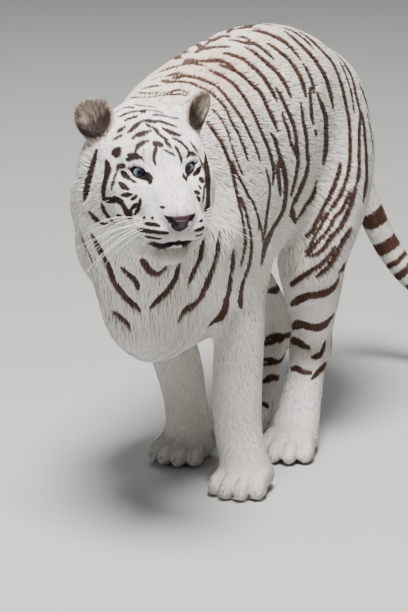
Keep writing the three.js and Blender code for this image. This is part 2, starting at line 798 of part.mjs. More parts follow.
// The separate bodies of a solid, as surfaces.
function bodies(s) {
  const mesh = s.getMesh(),
    p = mesh.vertProperties,
    t = mesh.triVerts,
    np = mesh.numProp;
  const root = [...Array(p.length / np).keys()];
  const find = (a) => {
    while (root[a] !== a) a = root[a] = root[root[a]];
    return a;
  };
  // vertices listed twice are one point
  if (mesh.mergeFromVert)
    for (let i = 0; i < mesh.mergeFromVert.length; i++)
      root[find(mesh.mergeFromVert[i])] = find(mesh.mergeToVert[i]);
  for (let i = 0; i < t.length; i += 3) {
    root[find(t[i])] = find(t[i + 1]);
    root[find(t[i + 1])] = find(t[i + 2]);
  }
  const parts = new Map();
  for (let i = 0; i < t.length; i += 3) {
    const r = find(t[i]);
    if (!parts.has(r)) parts.set(r, { pts: [], tris: [], map: new Map() });
    const q = parts.get(r);
    q.tris.push(
      [t[i], t[i + 1], t[i + 2]].map((v) => {
        if (!q.map.has(v)) {
          q.map.set(v, q.pts.length);
          q.pts.push([p[v * np], p[v * np + 1], p[v * np + 2]]);
        }
        return q.map.get(v);
      }),
    );
  }
  return [...parts.values()].map(({ pts, tris }) => {
    let volume = 0;
    const lo = [1e9, 1e9, 1e9],
      hi = [-1e9, -1e9, -1e9];
    for (const [a, b, c] of tris)
      volume += V(...pts[a]).dot(V(...pts[b]).cross(V(...pts[c]))) / 6;
    for (const q of pts) for (let k = 0; k < 3; k++) (lo[k] = Math.min(lo[k], q[k])), (hi[k] = Math.max(hi[k], q[k]));
    return { pts, tris, volume, middle: lo.map((v, k) => (v + hi[k]) / 2) };
  });
}

// ---------------------------------------------------------------- building the pieces
const sealed = (lo, hi, step, rounds, want) => solid(thin(relax(surface(lo, hi, step), rounds), want));

// Head: everything in front of a slanting cut behind the ears and under the throat.
const NECK_CUT = [-50, -300, 690],
  NECK_AXES = facing(24, -25);
const aheadOfNeck = (grow) => block(NECK_CUT, NECK_AXES, [-400, 400], [0, 600], [-500, 500], grow);
let head = sealed([-210, -650, 470], [280, -180, 950], FINE, 1, HEAD_TRIANGLES).intersect(aheadOfNeck(0));

// Paws: everything below the paw joint, trimmed level at the floor.
const belowPaws = (top, bottom = -60) => block([0, 0, 0], WORLD, [-500, 600], [-600, 1300], [bottom, top]);
let paws = sealed([-190, -200, -20], [200, 470, PAW_CUT + 20], FINE, 1, PAW_TRIANGLES).intersect(
  belowPaws(PAW_CUT, 0),
);

// Body: the rest.
let core = sealed([-300, -420, 40], [380, 1030, 980], COARSE, 3, BODY_TRIANGLES)
  .subtract(aheadOfNeck(GAP))
  .subtract(belowPaws(PAW_CUT + GAP));

// Takes a region out of the core as a solid of its own, leaving the gap round it.
const take = (region) => {
  const out = core.intersect(region(0));
  core = core.subtract(region(GAP));
  return out;
};
const slope = (a) => [V(Math.cos(rad(a)), 0, Math.sin(rad(a))), V(0, -1, 0), V(Math.sin(rad(a)), 0, -Math.cos(rad(a)))];
const forelegLeft = take((g) => block([10, -20, 285], slope(52.9), [-148, 330], [-75, 140], [0, 300], g));
const forelegRight = take((g) => block([-60, 70, 290], slope(135).map((v, i) => (i === 2 ? v.negate() : v)), [-150, 300], [-130, 100], [0, 300], g));
// Hind legs: below planes that climb from the flank fold towards the rump, parted at the crotch.
const CROTCH = 40,
  CLIMB = 20;
const climb = [
  V(1, 0, 0),
  V(0, Math.cos(rad(CLIMB)), Math.sin(rad(CLIMB))),
  V(0, Math.sin(rad(CLIMB)), -Math.cos(rad(CLIMB))),
];
const hindRegion = ([x0, x1], fold, front) => (g) =>
  block(fold, climb, [x0, x1], [-200, 560], [0, 620], g).intersect(
    block([0, 0, 0], WORLD, [x0, x1], [front, 720], [60, 700], g),
  );
const hind = {
  left: take(hindRegion([CROTCH, 330], [0, 225, 420], 225)),
  right: take(hindRegion([-270, CROTCH], [0, 312, 440], 312)),
};

// Thin cuts across the trunk and tail.
const cutAcross = (centre, along, reach, up = [0, 0, 1]) => {
  const f = V(...along).normalize();
  const l = f.clone().cross(V(...up)).normalize();
  const u = l.clone().cross(f);
  core = core.subtract(block(centre, [l, f, u], [-reach, reach], [-GAP / 2, GAP / 2], [-reach, reach]));
};
cutAcross([-56, -200, 620], [0, -0.9, 0.44], 420); // neck | shoulders
cutAcross([0, 125, 600], [0, 1, 0], 420); // shoulders | barrel
cutAcross([0, 345, 650], [0, 1, 0], 420); // barrel | hindquarters
const tailLine = new THREE.CatmullRomCurve3(TAIL.map((r) => V(r[0], r[1], r[2])), false, "catmullrom", 0.5);
const tailAt = (row) => {
  const t = row / (TAIL.length - 1);
  return [tailLine.getPoint(t), tailLine.getTangent(t)];
};
const TAIL_CUTS = [0.8, 2.4, 3.8, 5.1, 6.5, 8];
TAIL_CUTS.forEach((row, i) => {
  const [p, t] = tailAt(row);
  cutAcross(p.toArray(), t.toArray(), i ? 52 : 66, [1, 0, 0.2]);
});

// Ears, cut off along their bases.
const ears = {};
for (const s of sides) {
  const up = HEAD[0].clone().multiplyScalar(s * 0.6).addScaledVector(HEAD[2], 0.8);
  const left = HEAD[0].clone().multiplyScalar(0.8).addScaledVector(HEAD[2], -s * 0.6);
  const region = (g) =>
    block(headPoint(s * 90, -120, s > 0 ? 60 : 54).toArray(), [left, HEAD[1], up], [-90, 90], [-75, 75], [0, 140], g);
  ears[s] = head.intersect(region(0));
  head = head.subtract(region(GAP));
}

// Nose leather: a rounded wedge set in the front of the muzzle.
const wedge = (grow) => {
  const w = 33 + grow,
    top = -50 + grow,
    foot = -90 - grow;
  const shape = new THREE.Shape();
  shape.moveTo(-w, top);
  shape.lineTo(w, top);
  shape.lineTo(w, top - 14);
  shape.lineTo(8 + grow, foot);
  shape.lineTo(-8 - grow, foot);
  shape.lineTo(-w, top - 14);
  shape.closePath();
  const g = new THREE.ExtrudeGeometry(shape, { depth: 70 + grow, bevelEnabled: false });
  g.translate(0, 0, 104 - grow);
  g.applyMatrix4(new THREE.Matrix4().makeBasis(HEAD[0], HEAD[2], HEAD[1]).setPosition(V(...HEAD_PLACE)));
  return solidOf(g);
};
const nose = head.intersect(wedge(0));
head = head.subtract(wedge(GAP));

// Eyes: balls that sit in sockets behind the lids.
const ball = (r) => new THREE.SphereGeometry(r, 16, 10);
for (const s of sides) {
  const hole = ball(EYE_RADIUS + GAP);
  hole.translate(...headPoint((s * EYE_SPACING) / 2, -9, 0).toArray());
  head = head.subtract(solidOf(hole));
}

// Claws: short curved cones that show past the toes, points down, clear of the floor.
const claws = [];
for (const [name, p] of Object.entries(PAWS)) {
  const axes = facing(p.turn);
  TOES.forEach(([l, f, splay], i) => {
    const make = (grow) => {
      const long = 20 + p.claw * 0.6;
      const g = new THREE.ConeGeometry(4.6 + grow, long, 6, 3);
      g.translate(0, long / 2, 0);
      const pos = g.attributes.position;
      for (let q = 0; q < pos.count; q++) {
        const t = pos.getY(q) / long;
        pos.setXYZ(q, pos.getX(q), pos.getY(q) + (t > 0.5 ? grow : -grow), pos.getZ(q) - 8 * t * t);
      }
      const start = at([p.x, p.y, 0], axes, l * p.size, (f + 22) * p.size, 26);
      const toe = facing(p.turn + splay * 1.2);
      const m = new THREE.Matrix4().makeBasis(toe[0].clone().negate(), toe[1], toe[2]).setPosition(start);
      g.applyMatrix4(m);
      return solidOf(g);
    };
    claws.push([`${name}_claw_${i + 1}`, make(0)]);
    paws = paws.subtract(make(GAP));
  });
}

// ---------------------------------------------------------------- the named group
const tiger = new THREE.Group();
tiger.name = "white_tiger";
function add(name, part, color, roughness = 0.9) {
  const g = new THREE.BufferGeometry();
  g.setAttribute("position", new THREE.Float32BufferAttribute(part.pts.flat(), 3));
  g.setIndex(part.tris.flat());
  g.computeVertexNormals();
  const mesh = new THREE.Mesh(g, look(color, roughness));
  mesh.name = name;
  mesh.position.copy(V(...ORIGIN).negate());
  tiger.add(mesh);
}
const largest = (s) => bodies(s).sort((a, b) => b.volume - a.volume)[0];
const nearest = (parts, spots) => {
  const found = {};
  for (const part of parts) {
    if (part.volume < 3000) continue; // crumbs of a cut
    let best, d = 1e9;
    for (const [name, spot] of Object.entries(spots)) {
      const e = Math.hypot(...part.middle.map((v, k) => v - spot[k]));
      if (e < d) [best, d] = [name, e];
    }
    if (!found[best] || found[best].volume < part.volume) found[best] = part;
  }
  return found;
};

add("head", largest(head), COAT);
add("ear_left", largest(ears[1]), EAR_GREY);
add("ear_right", largest(ears[-1]), EAR_GREY);
add("nose", largest(nose), LEATHER, 0.6);
for (const s of sides) {
  const g = ball(EYE_RADIUS);
  const mesh = new THREE.Mesh(g, look(IRIS, 0.15));
  mesh.position.copy(headPoint((s * EYE_SPACING) / 2, -9, 0).sub(V(...ORIGIN)));
  mesh.name = s > 0 ? "eye_left" : "eye_right";
  tiger.add(mesh);
}

const tailSpots = {};
TAIL_CUTS.forEach((row, i) => {
  const next = i + 1 < TAIL_CUTS.length ? TAIL_CUTS[i + 1] : TAIL.length - 1;
  tailSpots[`tail_${i + 1}`] = tailAt((row + next) / 2)[0].toArray();
});
const trunk = nearest(bodies(core), {
  neck: [-56, -270, 640],
  shoulders: [-55, -40, 600],
  barrel: [-15, 235, 680],
  hindquarters: [0, 530, 690],
  ...tailSpots,
});
for (const [name, part] of Object.entries(trunk)) add(name, part, name.startsWith("tail") ? BAND : COAT);
add("foreleg_left", largest(forelegLeft), COAT);
add("foreleg_right", largest(forelegRight), COAT);
const SHANK_TOP = 300;
for (const side of ["left", "right"]) {
  const leg = hind[side];
  add(`shank_${side}`, largest(leg.intersect(belowPaws(SHANK_TOP, 0))), COAT);
  add(`thigh_${side}`, largest(leg.subtract(belowPaws(SHANK_TOP + GAP, 0))), COAT);
}
const feet = nearest(bodies(paws), Object.fromEntries(Object.entries(PAWS).map(([n, p]) => [n, [p.x, p.y, 45]])));
for (const [name, part] of Object.entries(feet)) add(name, part, COAT);
for (const [name, c] of claws) add(name, largest(c), HORN, 0.45);

export default tiger;
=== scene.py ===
"""Looks of the white tiger: skin, coat, markings, eyes, nose, whiskers, light and camera.

Works in millimetres in the animal's working axes (it faces -Y, its left is +X) and turns the
result into the frame's metres at the end (see to_frame)."""

import math
import time

import bmesh
import bpy
import numpy as np
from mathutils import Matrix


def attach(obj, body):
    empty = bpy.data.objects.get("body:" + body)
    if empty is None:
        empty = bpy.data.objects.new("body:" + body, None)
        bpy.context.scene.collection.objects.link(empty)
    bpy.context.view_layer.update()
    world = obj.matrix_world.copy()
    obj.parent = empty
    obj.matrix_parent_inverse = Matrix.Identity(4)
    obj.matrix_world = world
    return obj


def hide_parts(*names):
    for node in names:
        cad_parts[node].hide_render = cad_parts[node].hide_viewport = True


T0 = time.time()


def log(*a):
    print("[tiger %.1fs]" % (time.time() - T0), *a, flush=True)


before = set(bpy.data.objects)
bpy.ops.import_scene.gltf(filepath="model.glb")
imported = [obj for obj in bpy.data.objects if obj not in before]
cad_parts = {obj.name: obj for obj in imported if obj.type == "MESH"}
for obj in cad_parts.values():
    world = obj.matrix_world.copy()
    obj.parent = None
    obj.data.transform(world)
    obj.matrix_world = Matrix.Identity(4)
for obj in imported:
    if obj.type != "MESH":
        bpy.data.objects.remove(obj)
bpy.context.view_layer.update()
RNG = np.random.default_rng(7)
ORIGIN = np.array([38.5, 197.5, 0.0])  # the frame's origin in the working axes


def to_frame(p):
    return (np.asarray(p, float) - ORIGIN) / 1000.0


# ------------------------------------------------------------------ small maths
def unit(v):
    v = np.asarray(v, float)
    return v / np.maximum(np.linalg.norm(v, axis=-1, keepdims=True), 1e-12)


def step(a, b, x):
    t = np.clip((x - a) / (b - a), 0, 1)
    return t * t * (3 - 2 * t)


def smin(a, b, k):
    h = np.maximum(k - np.abs(a - b), 0) / k
    return np.minimum(a, b) - h * h * k * 0.25


def srgb(*c):
    c = np.array(c, float) / 255.0
    return np.where(c <= 0.04045, c / 12.92, ((c + 0.055) / 1.055) ** 2.4)


def noise(p, scale, seed=0):
    """Smooth value noise, 0..1, at points p (n,3)."""
    q = np.asarray(p, float) / scale + 31.7 * seed
    i = np.floor(q).astype(np.int64)
    f = q - i
    f = f * f * (3 - 2 * f)

    def h(a, b, c):
        n = (a * 374761393 + b * 668265263 + c * 2147483647 + seed * 97) & 0xFFFFFFFF
        n = ((n ^ (n >> 13)) * 1274126177) & 0xFFFFFFFF
        return ((n ^ (n >> 16)) & 0xFFFF) / 65535.0

    out = 0
    for a in (0, 1):
        for b in (0, 1):
            for c in (0, 1):
                w = (f[:, 0] if a else 1 - f[:, 0]) * (f[:, 1] if b else 1 - f[:, 1]) * (f[:, 2] if c else 1 - f[:, 2])
                out = out + w * h(i[:, 0] + a, i[:, 1] + b, i[:, 2] + c)
    return out


def facing(yaw=0, pitch=0, roll=0):
    """Rows left, forward, up of a thing facing -Y, turned to its left, dipped and tilted."""
    y, p, r = np.radians([yaw, pitch, roll])
    F = np.array([np.sin(y) * np.cos(p), -np.cos(y) * np.cos(p), -np.sin(p)])
    L0 = np.array([np.cos(y), np.sin(y), 0.0])
    U0 = np.array([np.sin(y) * np.sin(p), -np.cos(y) * np.sin(p), np.cos(p)])
    return np.array([L0 * np.cos(r) + U0 * np.sin(r), F, U0 * np.cos(r) - L0 * np.sin(r)])


def turned(ax, ay, az):
    ax, ay, az = np.radians([ax, ay, az])
    X = np.array([[1, 0, 0], [0, np.cos(ax), -np.sin(ax)], [0, np.sin(ax), np.cos(ax)]])
    Y = np.array([[np.cos(ay), 0, np.sin(ay)], [0, 1, 0], [-np.sin(ay), 0, np.cos(ay)]])
    Z = np.array([[np.cos(az), -np.sin(az), 0], [np.sin(az), np.cos(az), 0], [0, 0, 1]])
    return (Z @ Y @ X).T


# ------------------------------------------------------------------ the form
def catmull(rows, n):
    P = np.asarray(rows, float)
    m = len(P)
    out = []
    for i in range(m - 1):
        p0, p1, p2, p3 = P[max(i - 1, 0)], P[i], P[i + 1], P[min(i + 2, m - 1)]
        for j in range(n):
            t = j / n
            out.append(0.5 * (2 * p1 + (-p0 + p2) * t + (2 * p0 - 5 * p1 + 4 * p2 - p3) * t * t + (-p0 + 3 * p1 - 3 * p2 + p3) * t**3))
    out.append(P[-1])
    return np.array(out)


class Tube:
    """Elliptical tube: rows x, y, z, half-width, reach towards ref, reach away from it."""

    def __init__(s, rows, ref=(0, 0, 1), k=40, n=4):
        s.k = k
        R = catmull(rows, n)
        s.P = R[:, :3]
        s.w, s.t, s.b = (np.maximum(R[:, i], 1) for i in (3, 4, 5))
        T = unit(np.gradient(s.P, axis=0))
        ref = np.asarray(ref, float)
        s.V = unit(ref - (T @ ref)[:, None] * T)
        s.S = np.cross(T, s.V)
        rm = np.maximum(s.w, np.maximum(s.t, s.b))[:, None]
        s.lo, s.hi = (s.P - rm).min(0), (s.P + rm).max(0)

    def __call__(s, p):
        best = np.full(len(p), 1e9)
        for i in range(len(s.P) - 1):
            a = s.P[i]
            d = s.P[i + 1] - a
            L = np.sqrt(d @ d)
            q = p - a
            u = np.clip((q @ d) / (L * L), 0, 1)
            r = q - u[:, None] * d
            S, W = unit(s.S[i] + s.S[i + 1]), unit(s.V[i] + s.V[i + 1])
            x, z, ax = r @ S, r @ W, r @ (d / L)
            w = s.w[i] + u * (s.w[i + 1] - s.w[i])
            h = np.where(z > 0, s.t[i] + u * (s.t[i + 1] - s.t[i]), s.b[i] + u * (s.b[i + 1] - s.b[i]))
            m = np.minimum(w, h)
            qx, qz, qa = x / w, z / h, ax / m
            k0 = np.sqrt(qx * qx + qz * qz + qa * qa) + 1e-9
            k1 = np.sqrt((qx / w) ** 2 + (qz / h) ** 2 + (qa / m) ** 2) + 1e-9
            best = np.minimum(best, k0 * (k0 - 1) / k1)
        return best


class Mass:
    """Ellipsoid with centre c, radii r and axes M (rows)."""

    def __init__(s, c, r, M=None, k=30):
        s.c, s.r, s.k = np.asarray(c, float), np.asarray(r, float) * np.ones(3), k
        s.M = np.eye(3) if M is None else M
        s.lo, s.hi = s.c - s.r.max(), s.c + s.r.max()

    def __call__(s, p):
        a = ((p - s.c) @ s.M.T) / s.r
        b = a / s.r
        k0 = np.sqrt((a * a).sum(1)) + 1e-9
        return k0 * (k0 - 1) / (np.sqrt((b * b).sum(1)) + 1e-9)


class Form:
    def __init__(s):
        s.ops = []

    def add(s, pr):
        s.ops.append((1, pr))

    def cut(s, pr):
        s.ops.append((-1, pr))

    def __call__(s, p, band=40.0):
        d = np.full(len(p), 1e3)
        for sign, pr in s.ops:
            m = pr.k + band
            sel = np.nonzero(((p > pr.lo - m) & (p < pr.hi + m)).all(1))[0]
            if len(sel):
                v = pr(p[sel])
                d[sel] = smin(d[sel], v, pr.k) if sign > 0 else -smin(-d[sel], v, pr.k)
        return d

    def grad(s, p, e=0.8, band=40.0):
        g = np.empty_like(p)
        for i in range(3):
            o = np.zeros(3)
            o[i] = e
            g[:, i] = s(p + o, band) - s(p - o, band)
        return g / (2 * e)


HEADC = np.array([70.0, -455.0, 771.0])
HEADM = facing(38.6, 6.3, 0.5)
EYE_R = 18.5
SIDES = (1, -1)


def hp(l, f, u):
    return HEADC + np.array([l, f, u], float) @ HEADM


def head_axes(p):
    return (p - HEADC) @ HEADM.T


TRUNK = [
    (-225, -64, 745, 335, 92, 0.45), (-150, -62, 808, 285, 120, 0.44), (-50, -52, 878, 276, 142, 0.46),
    (60, -38, 908, 322, 160, 0.50), (180, -24, 914, 400, 172, 0.50), (300, -12, 918, 455, 164, 0.50),
    (400, -4, 903, 502, 156, 0.52), (490, 2, 866, 550, 146, 0.54), (580, 4, 820, 600, 126, 0.54),
    (650, 0, 778, 645, 84, 0.54), (700, 0, 735, 675, 50, 0.5),
]
NECK = [
    (0, -46, 880, 440, 132, 0.50), (-100, -52, 826, 405, 129, 0.48), (-190, -54, 780, 420, 124, 0.50),
    (-270, -56, 764, 475, 118, 0.53), (-340, -56, 760, 560, 108, 0.55),
]
FORE_L = [(70, 10, 478, 50, 76, 70), (70, -3, 415, 51, 68, 70), (73, -12, 330, 52, 60, 62), (73, -22, 250, 53, 50, 50), (74, -28, 195, 53, 47, 45), (78, -35, 132, 52, 43, 41), (89, -42, 85, 51, 44, 42), (98, -48, 45, 54, 48, 50)]
FORE_R = [(-172, 40, 455, 62, 74, 72), (-158, 52, 395, 62, 66, 68), (-134, 78, 318, 58, 56, 58), (-116, 100, 245, 54, 47, 47), (-106, 114, 192, 52, 45, 43), (-99, 126, 132, 48, 41, 40), (-94, 132, 82, 50, 43, 41), (-92, 128, 45, 54, 47, 50)]
HIND_L = [(66, 560, 700, 85, 95, 90), (92, 510, 640, 98, 140, 140), (114, 425, 560, 97, 130, 135), (124, 345, 488, 88, 98, 116), (124, 305, 415, 74, 72, 98), (118, 325, 345, 64, 56, 84), (108, 362, 280, 52, 48, 62), (99, 388, 230, 45, 42, 48), (95, 395, 185, 42, 38, 46)]
HIND_R = [(-66, 590, 700, 85, 95, 90), (-90, 540, 640, 98, 140, 140), (-108, 465, 560, 97, 130, 135), (-112, 405, 488, 84, 98, 110), (-104, 396, 415, 66, 72, 78), (-78, 424, 345, 56, 56, 62), (-54, 468, 280, 50, 48, 52), (-36, 498, 230, 45, 42, 46), (-28, 508, 185, 42, 38, 46)]
META_L = [(95, 390, 192, 42, 38, 46), (98, 352, 145, 42, 36, 36), (103, 305, 95, 46, 38, 36), (107, 262, 55, 52, 38, 38)]
META_R = [(-28, 504, 192, 42, 38, 46), (-29, 465, 145, 40, 36, 36), (-32, 418, 95, 44, 38, 36), (-35, 378, 55, 49, 38, 38)]
TAIL = [(0, 680, 715, 48, 46, 46), (6, 750, 668, 39, 37, 37), (20, 812, 595, 33, 32, 32), (40, 860, 495, 32, 31, 31), (66, 895, 393, 31, 31, 31), (102, 918, 302, 30, 30, 30), (150, 930, 234, 29, 29, 29), (205, 935, 190, 27, 27, 27), (258, 930, 170, 24, 24, 24), (308, 920, 175, 17, 17, 17)]
PAWS = [((102, -58), 0, 1.08), ((-92, 112), -6, 1.08), ((110, 212), 4, 1.12), ((-35, 332), -2, 1.03)]
TOES = [(-42, 26, -6), (-14.5, 42, -2), (14.5, 42, 2), (42, 26, 6)]
EARS = [(1, 107, 72, -50), (-1, -104, 73, 16)]
EAR_SIZE = {1: (29, 19, 51), -1: (40, 20, 45)}


def stations(rows):
    out = []
    for y, x, top, bottom, half, share in rows:
        z = bottom + (top - bottom) * share
        out.append((x, y, z, half, top - z, z - bottom))
    return out


def ear_frame(s, out, up, lean):
    return facing(38 + s * 26, -6, 2.5 + lean), hp(out, -120, up)


def build_form():
    F = Form()
    F.add(Tube(stations(TRUNK), k=40))
    F.add(Tube(stations(NECK), k=50))
    F.add(Mass((46, -40, 640), (70, 112, 200), turned(14, -8, 0), 60))
    F.add(Mass((-132, -36, 606), (66, 112, 178), turned(14, 8, 0), 60))
    ahead = (0, -1, 0)
    F.add(Tube([(58, -160, 575, 60, 80, 70), (60, -95, 520, 55, 82, 80), (70, 10, 468, 50, 78, 62)], ahead, 55))
    F.add(Tube([(-168, -150, 555, 62, 80, 72), (-176, -80, 500, 66, 84, 86), (-172, 30, 440, 60, 80, 70)], ahead, 55))
    F.add(Tube(FORE_L, ahead, 30))
    F.add(Tube(FORE_R, ahead, 30))
    F.add(Tube(HIND_L, (0, -1, 0.3), 50))
    F.add(Tube(HIND_R, (0, -1, 0.3), 50))
    F.add(Tube(META_L, (0, -1, 0.6), 25))
    F.add(Tube(META_R, (0, -1, 0.6), 25))
    for c, yaw, w in PAWS:
        M = facing(yaw)

        def q(l, f, u):
            return np.array([c[0], c[1], 0]) + np.array([l * w, f * w, u]) @ M

        F.add(Mass(q(0, -14, 32), np.array((52, 58, 36)) * [w, w, 1], M, 22))
        for l, f, sp in TOES:
            toe = [(*q(l * 0.8, f - 34, 40), 13.5 * w, 16, 22), (*q(l * 0.92, f - 8, 36), 15.5 * w, 17, 26), (*q(l, f + 14, 28), 16.5 * w, 18, 29.5), (*q(l * 1.02, f + 27, 20), 13.5 * w, 13, 17)]
            F.add(Tube(toe, (0, 0, 1), 11, 2))
    F.add(Tube(TAIL, (0, 1, 0), 35))

    def H(l, f, u, r, k=25, swing=0, slant=0, cut=False):
        m = Mass(hp(l, f, u), r, turned(0, slant, swing) @ HEADM, k)
        F.cut(m) if cut else F.add(m)

    H(0, -112, 16, (90, 112, 84), 30)
    H(0, -50, 8, (64, 66, 50), 35)
    bridge = [(0, -40, 14, 44, 24, 40), (0, 0, 4, 42, 20, 40), (0, 40, -15, 38, 18, 38), (0, 80, -36, 33, 16, 34), (0, 108, -52, 29, 14, 24)]
    F.add(Tube([tuple(hp(*r[:3])) + r[3:] for r in bridge], tuple(HEADM[2]), 22, 3))
    for s in SIDES:
        H(s * 46, -28, 22, (29, 28, 15), 20)
        H(s * 66, -70, 4, (40, 50, 40), 30)
        H(s * 72, -44, -34, (40, 62, 40), 30, -s * 14)
        H(s * 40, 14, -48, (32, 54, 34), 26, -s * 12)
        H(s * 58, -14, -84, (42, 66, 46), 34, -s * 10)
        H(s * 29, 82, -90, (30, 42, 31), 14, -s * 12)
        H(s * 41, 44, -100, (27, 52, 28), 20, -s * 12)
        H(s * 36, -22, -138, (37, 78, 32), 30, -s * 12)
        H(s * 50, 8, -112, (29, 50, 30), 24, -s * 12)
        H(s * 24, 58, -64, (27, 44, 25), 20, -s * 8)
        H(s * 84, -84, -84, (50, 62, 66), 35)
        H(s * 92, -128, -52, (40, 46, 90), 35)
    H(0, 110, -62, (30, 17, 18), 12)
    H(0, 89, -96, (26, 27, 26), 10)
    H(0, 56, -146, (36, 41, 30), 12)
    H(0, 70, -121, (43, 32, 13), 6)
    H(0, -20, -140, (52, 84, 36), 30)
    H(0, 22, -84, (36, 52, 38), 16)
    H(0, -90, -116, (78, 80, 75), 45)
    for s, out, up, lean in EARS:
        Me, e = ear_frame(s, out, up, lean)
        r = EAR_SIZE[s]
        F.add(Mass(e, r, Me, 18))
        F.add(Mass(hp(s * 82, -118, 52), (30, 24, 28), Me, 24))
        F.cut(Mass(e + np.array([-s * 2, 22, 3]) @ Me, (r[0] - 10, 17, r[2] - 10), Me, 8))
    for s in SIDES:
        H(s * 53, 10, 0, (22, 22, 11), 7, 0, -s * 18, True)
    return F


# ------------------------------------------------------------------ the skin's form
def paw_frames():
    return [(np.array([c[0], c[1], 0.0]), facing(yaw), w) for c, yaw, w in PAWS]


def coat_depth(p):
    """How far the skin lies under the coat's surface, mm."""
    h = head_axes(p)
    l, f, u = h[:, 0], h[:, 1], h[:, 2]
    near = step(210, 150, np.linalg.norm(h - [0, -20, -20], axis=1))
    d = np.full(len(p), 5.5)
    belly = step(560, 470, p[:, 2]) * step(60, 120, p[:, 1]) * step(560, 460, p[:, 1]) * step(330, 400, p[:, 2])
    d = d + 3.0 * belly
    chest = step(-120, -200, p[:, 1]) * step(700, 560, p[:, 2]) * step(330, 380, p[:, 2])
    d = d + 2.5 * chest
    face = 2.4 + 3.2 * step(-60, -130, f) * step(30, -20, u) + 2.0 * step(-110, -150, u)
    face = face - 1.1 * step(60, 95, f) * step(-115, -85, u)
    ear = step(62, 80, np.abs(l)) * step(20, 45, u)
    face = face * (1 - ear) + 2.2 * ear
    d = d * (1 - near) + face * near
    legs = step(430, 330, p[:, 2])
    d = d * (1 - legs) + 4.0 * legs
    d = np.minimum(d, 0.5 + 3.5 * step(0, 40, p[:, 2]) + 30 * step(60, 200, p[:, 2]))
    return d


EYES = {s: hp(s * 51, -9, 0) for s in SIDES}


def build_skin_form():
    """The animal's form, as build_form gives it."""
    F = build_form()
    return F


def eye_frame(p, s):
    """Places across, out of and up an eye's opening (outer corner up), and 1 on its edge."""
    q = (p - EYES[s]) @ HEADM.T
    ca, sa = math.cos(math.radians(18)), math.sin(math.radians(18))
    x = (q[:, 0] * ca + s * q[:, 2] * sa) * s
    z = -q[:, 0] * sa * s + q[:, 2] * ca
    half = np.where(z > 0, 8.4 if s > 0 else 9.2, 9.8) - 1.6 * np.clip(-x / 13.0, 0, 1)
    k = np.hypot(np.abs(x / np.where(x > 0, 13.2, 12.6)) ** 1.15, z / half)
    return x, q[:, 1], z, k


def lids(p, d):
    """Lids round each eye, the inner corners and the fold over the eye."""
    for s in SIDES:
        x, y, z, k = eye_frame(p, s)
        shell = np.sqrt(x * x + y * y + z * z) - 21.2
        d = smin(d, shell, 9)
        front = np.hypot(k, np.maximum(0, (14 - y) / 14.0 - 0.3))
        d = -smin(-d, (front - 1) * 10.0 + 30 * step(4, -4, y), 2.6)
        b = np.stack([(x + 13.5) / 4.0, (y - 20) / 14.0, (z + 1.6) / 1.8], 1)
        d = -smin(-d, (np.linalg.norm(b, axis=1) - 1) * 2.4, 2.6)
        fold = np.exp(-(((np.hypot(x / 24.0, (z - 1) / 17.5) - 1) / 0.10) ** 2)) * step(-4, 4, z) * (y > -8)
        d = d + 1.3 * fold
    return d


def muzzle(p, d):
    """Nostrils, the groove under the nose and the closed mouth line."""
    h = head_axes(p)
    l, f, u = h[:, 0], h[:, 1], h[:, 2]
    al = np.abs(l)
    groove = np.hypot(l / 1.6, np.maximum(np.abs(u + 99) - 17, 0) / 2.0)
    d = d + 3.6 * np.exp(-groove**2) * step(88, 100, f)
    lipline = lip_line(l, f)
    m = np.exp(-(((u - lipline) / 2.6) ** 2)) * step(-10, 12, f) * step(74, 60, al)
    d = d + 3.4 * m
    nost = [np.linalg.norm((h - [s * 15.5, 120, -71]) / [8.0, 12, 5.6], axis=1) for s in SIDES]
    for n in nost:
        d = -smin(-d, (n - 1) * 4.6, 2.5)
    slit = [np.linalg.norm((h - [s * 24.0, 114, -64]) / [6.4, 10, 4.8], axis=1) for s in SIDES]
    for n in slit:
        d = -smin(-d, (n - 1) * 2.6, 2.5)
    return d


class Skin:
    """Distance to the bare skin: the form, in by the coat's depth, with the face's details."""

    def __init__(s):
        s.form = build_form()
        s.form.ops = s.form.ops[:-2]  # the solids' plain eye openings give way to real lids

    def base(s, p):
        return s.form(p) + coat_depth(p)

    def __call__(s, p):
        d = s.base(p)
        h = head_axes(p)
        near = np.nonzero((np.abs(h[:, 0]) < 95) & (h[:, 1] > -75) & (h[:, 1] < 150) & (h[:, 2] > -170) & (h[:, 2] < 60))[0]
        if len(near):
            d[near] = muzzle(p[near], lids(p[near], d[near]))
        return d

    def grad(s, p, e=0.6):
        g = np.empty_like(p)
        for i in range(3):
            o = np.zeros(3)
            o[i] = e
            g[:, i] = s(p + o) - s(p - o)
        return g / (2 * e)


def narrow_grid(fn, lo, hi, h, levels=2):
    """Distance on a grid of step h, worked out only near the surface."""
    f = 2**levels
    H = h * f
    n = np.ceil((hi - lo) / H).astype(int) + 1
    ax = [lo[i] + H * np.arange(n[i]) for i in range(3)]
    G = np.stack(np.meshgrid(*ax, indexing="ij"), -1).reshape(-1, 3)
    d = fn(G).reshape(n)
    near = np.abs(d) < H * 1.3
    act = np.zeros(n - 1, bool)
    for a in (0, 1):
        for b in (0, 1):
            for c in (0, 1):
                act |= near[a : n[0] - 1 + a, b : n[1] - 1 + b, c : n[2] - 1 + c]
    N = (n - 1) * f + 1
    idx = [np.minimum((np.arange(N[i]) + f // 2) // f, n[i] - 1) for i in range(3)]
    D = d[np.ix_(*idx)].astype(np.float32)
    mask = np.zeros(N, bool)
    ai = np.argwhere(act)
    for a in range(f + 1):
        for b in range(f + 1):
            for c in range(f + 1):
                mask[ai[:, 0] * f + a, ai[:, 1] * f + b, ai[:, 2] * f + c] = True
    P = lo + np.argwhere(mask) * h
    out = np.empty(len(P), np.float32)
    for i in range(0, len(P), 300000):
        out[i : i + 300000] = fn(P[i : i + 300000])
    D[mask] = out
    return D


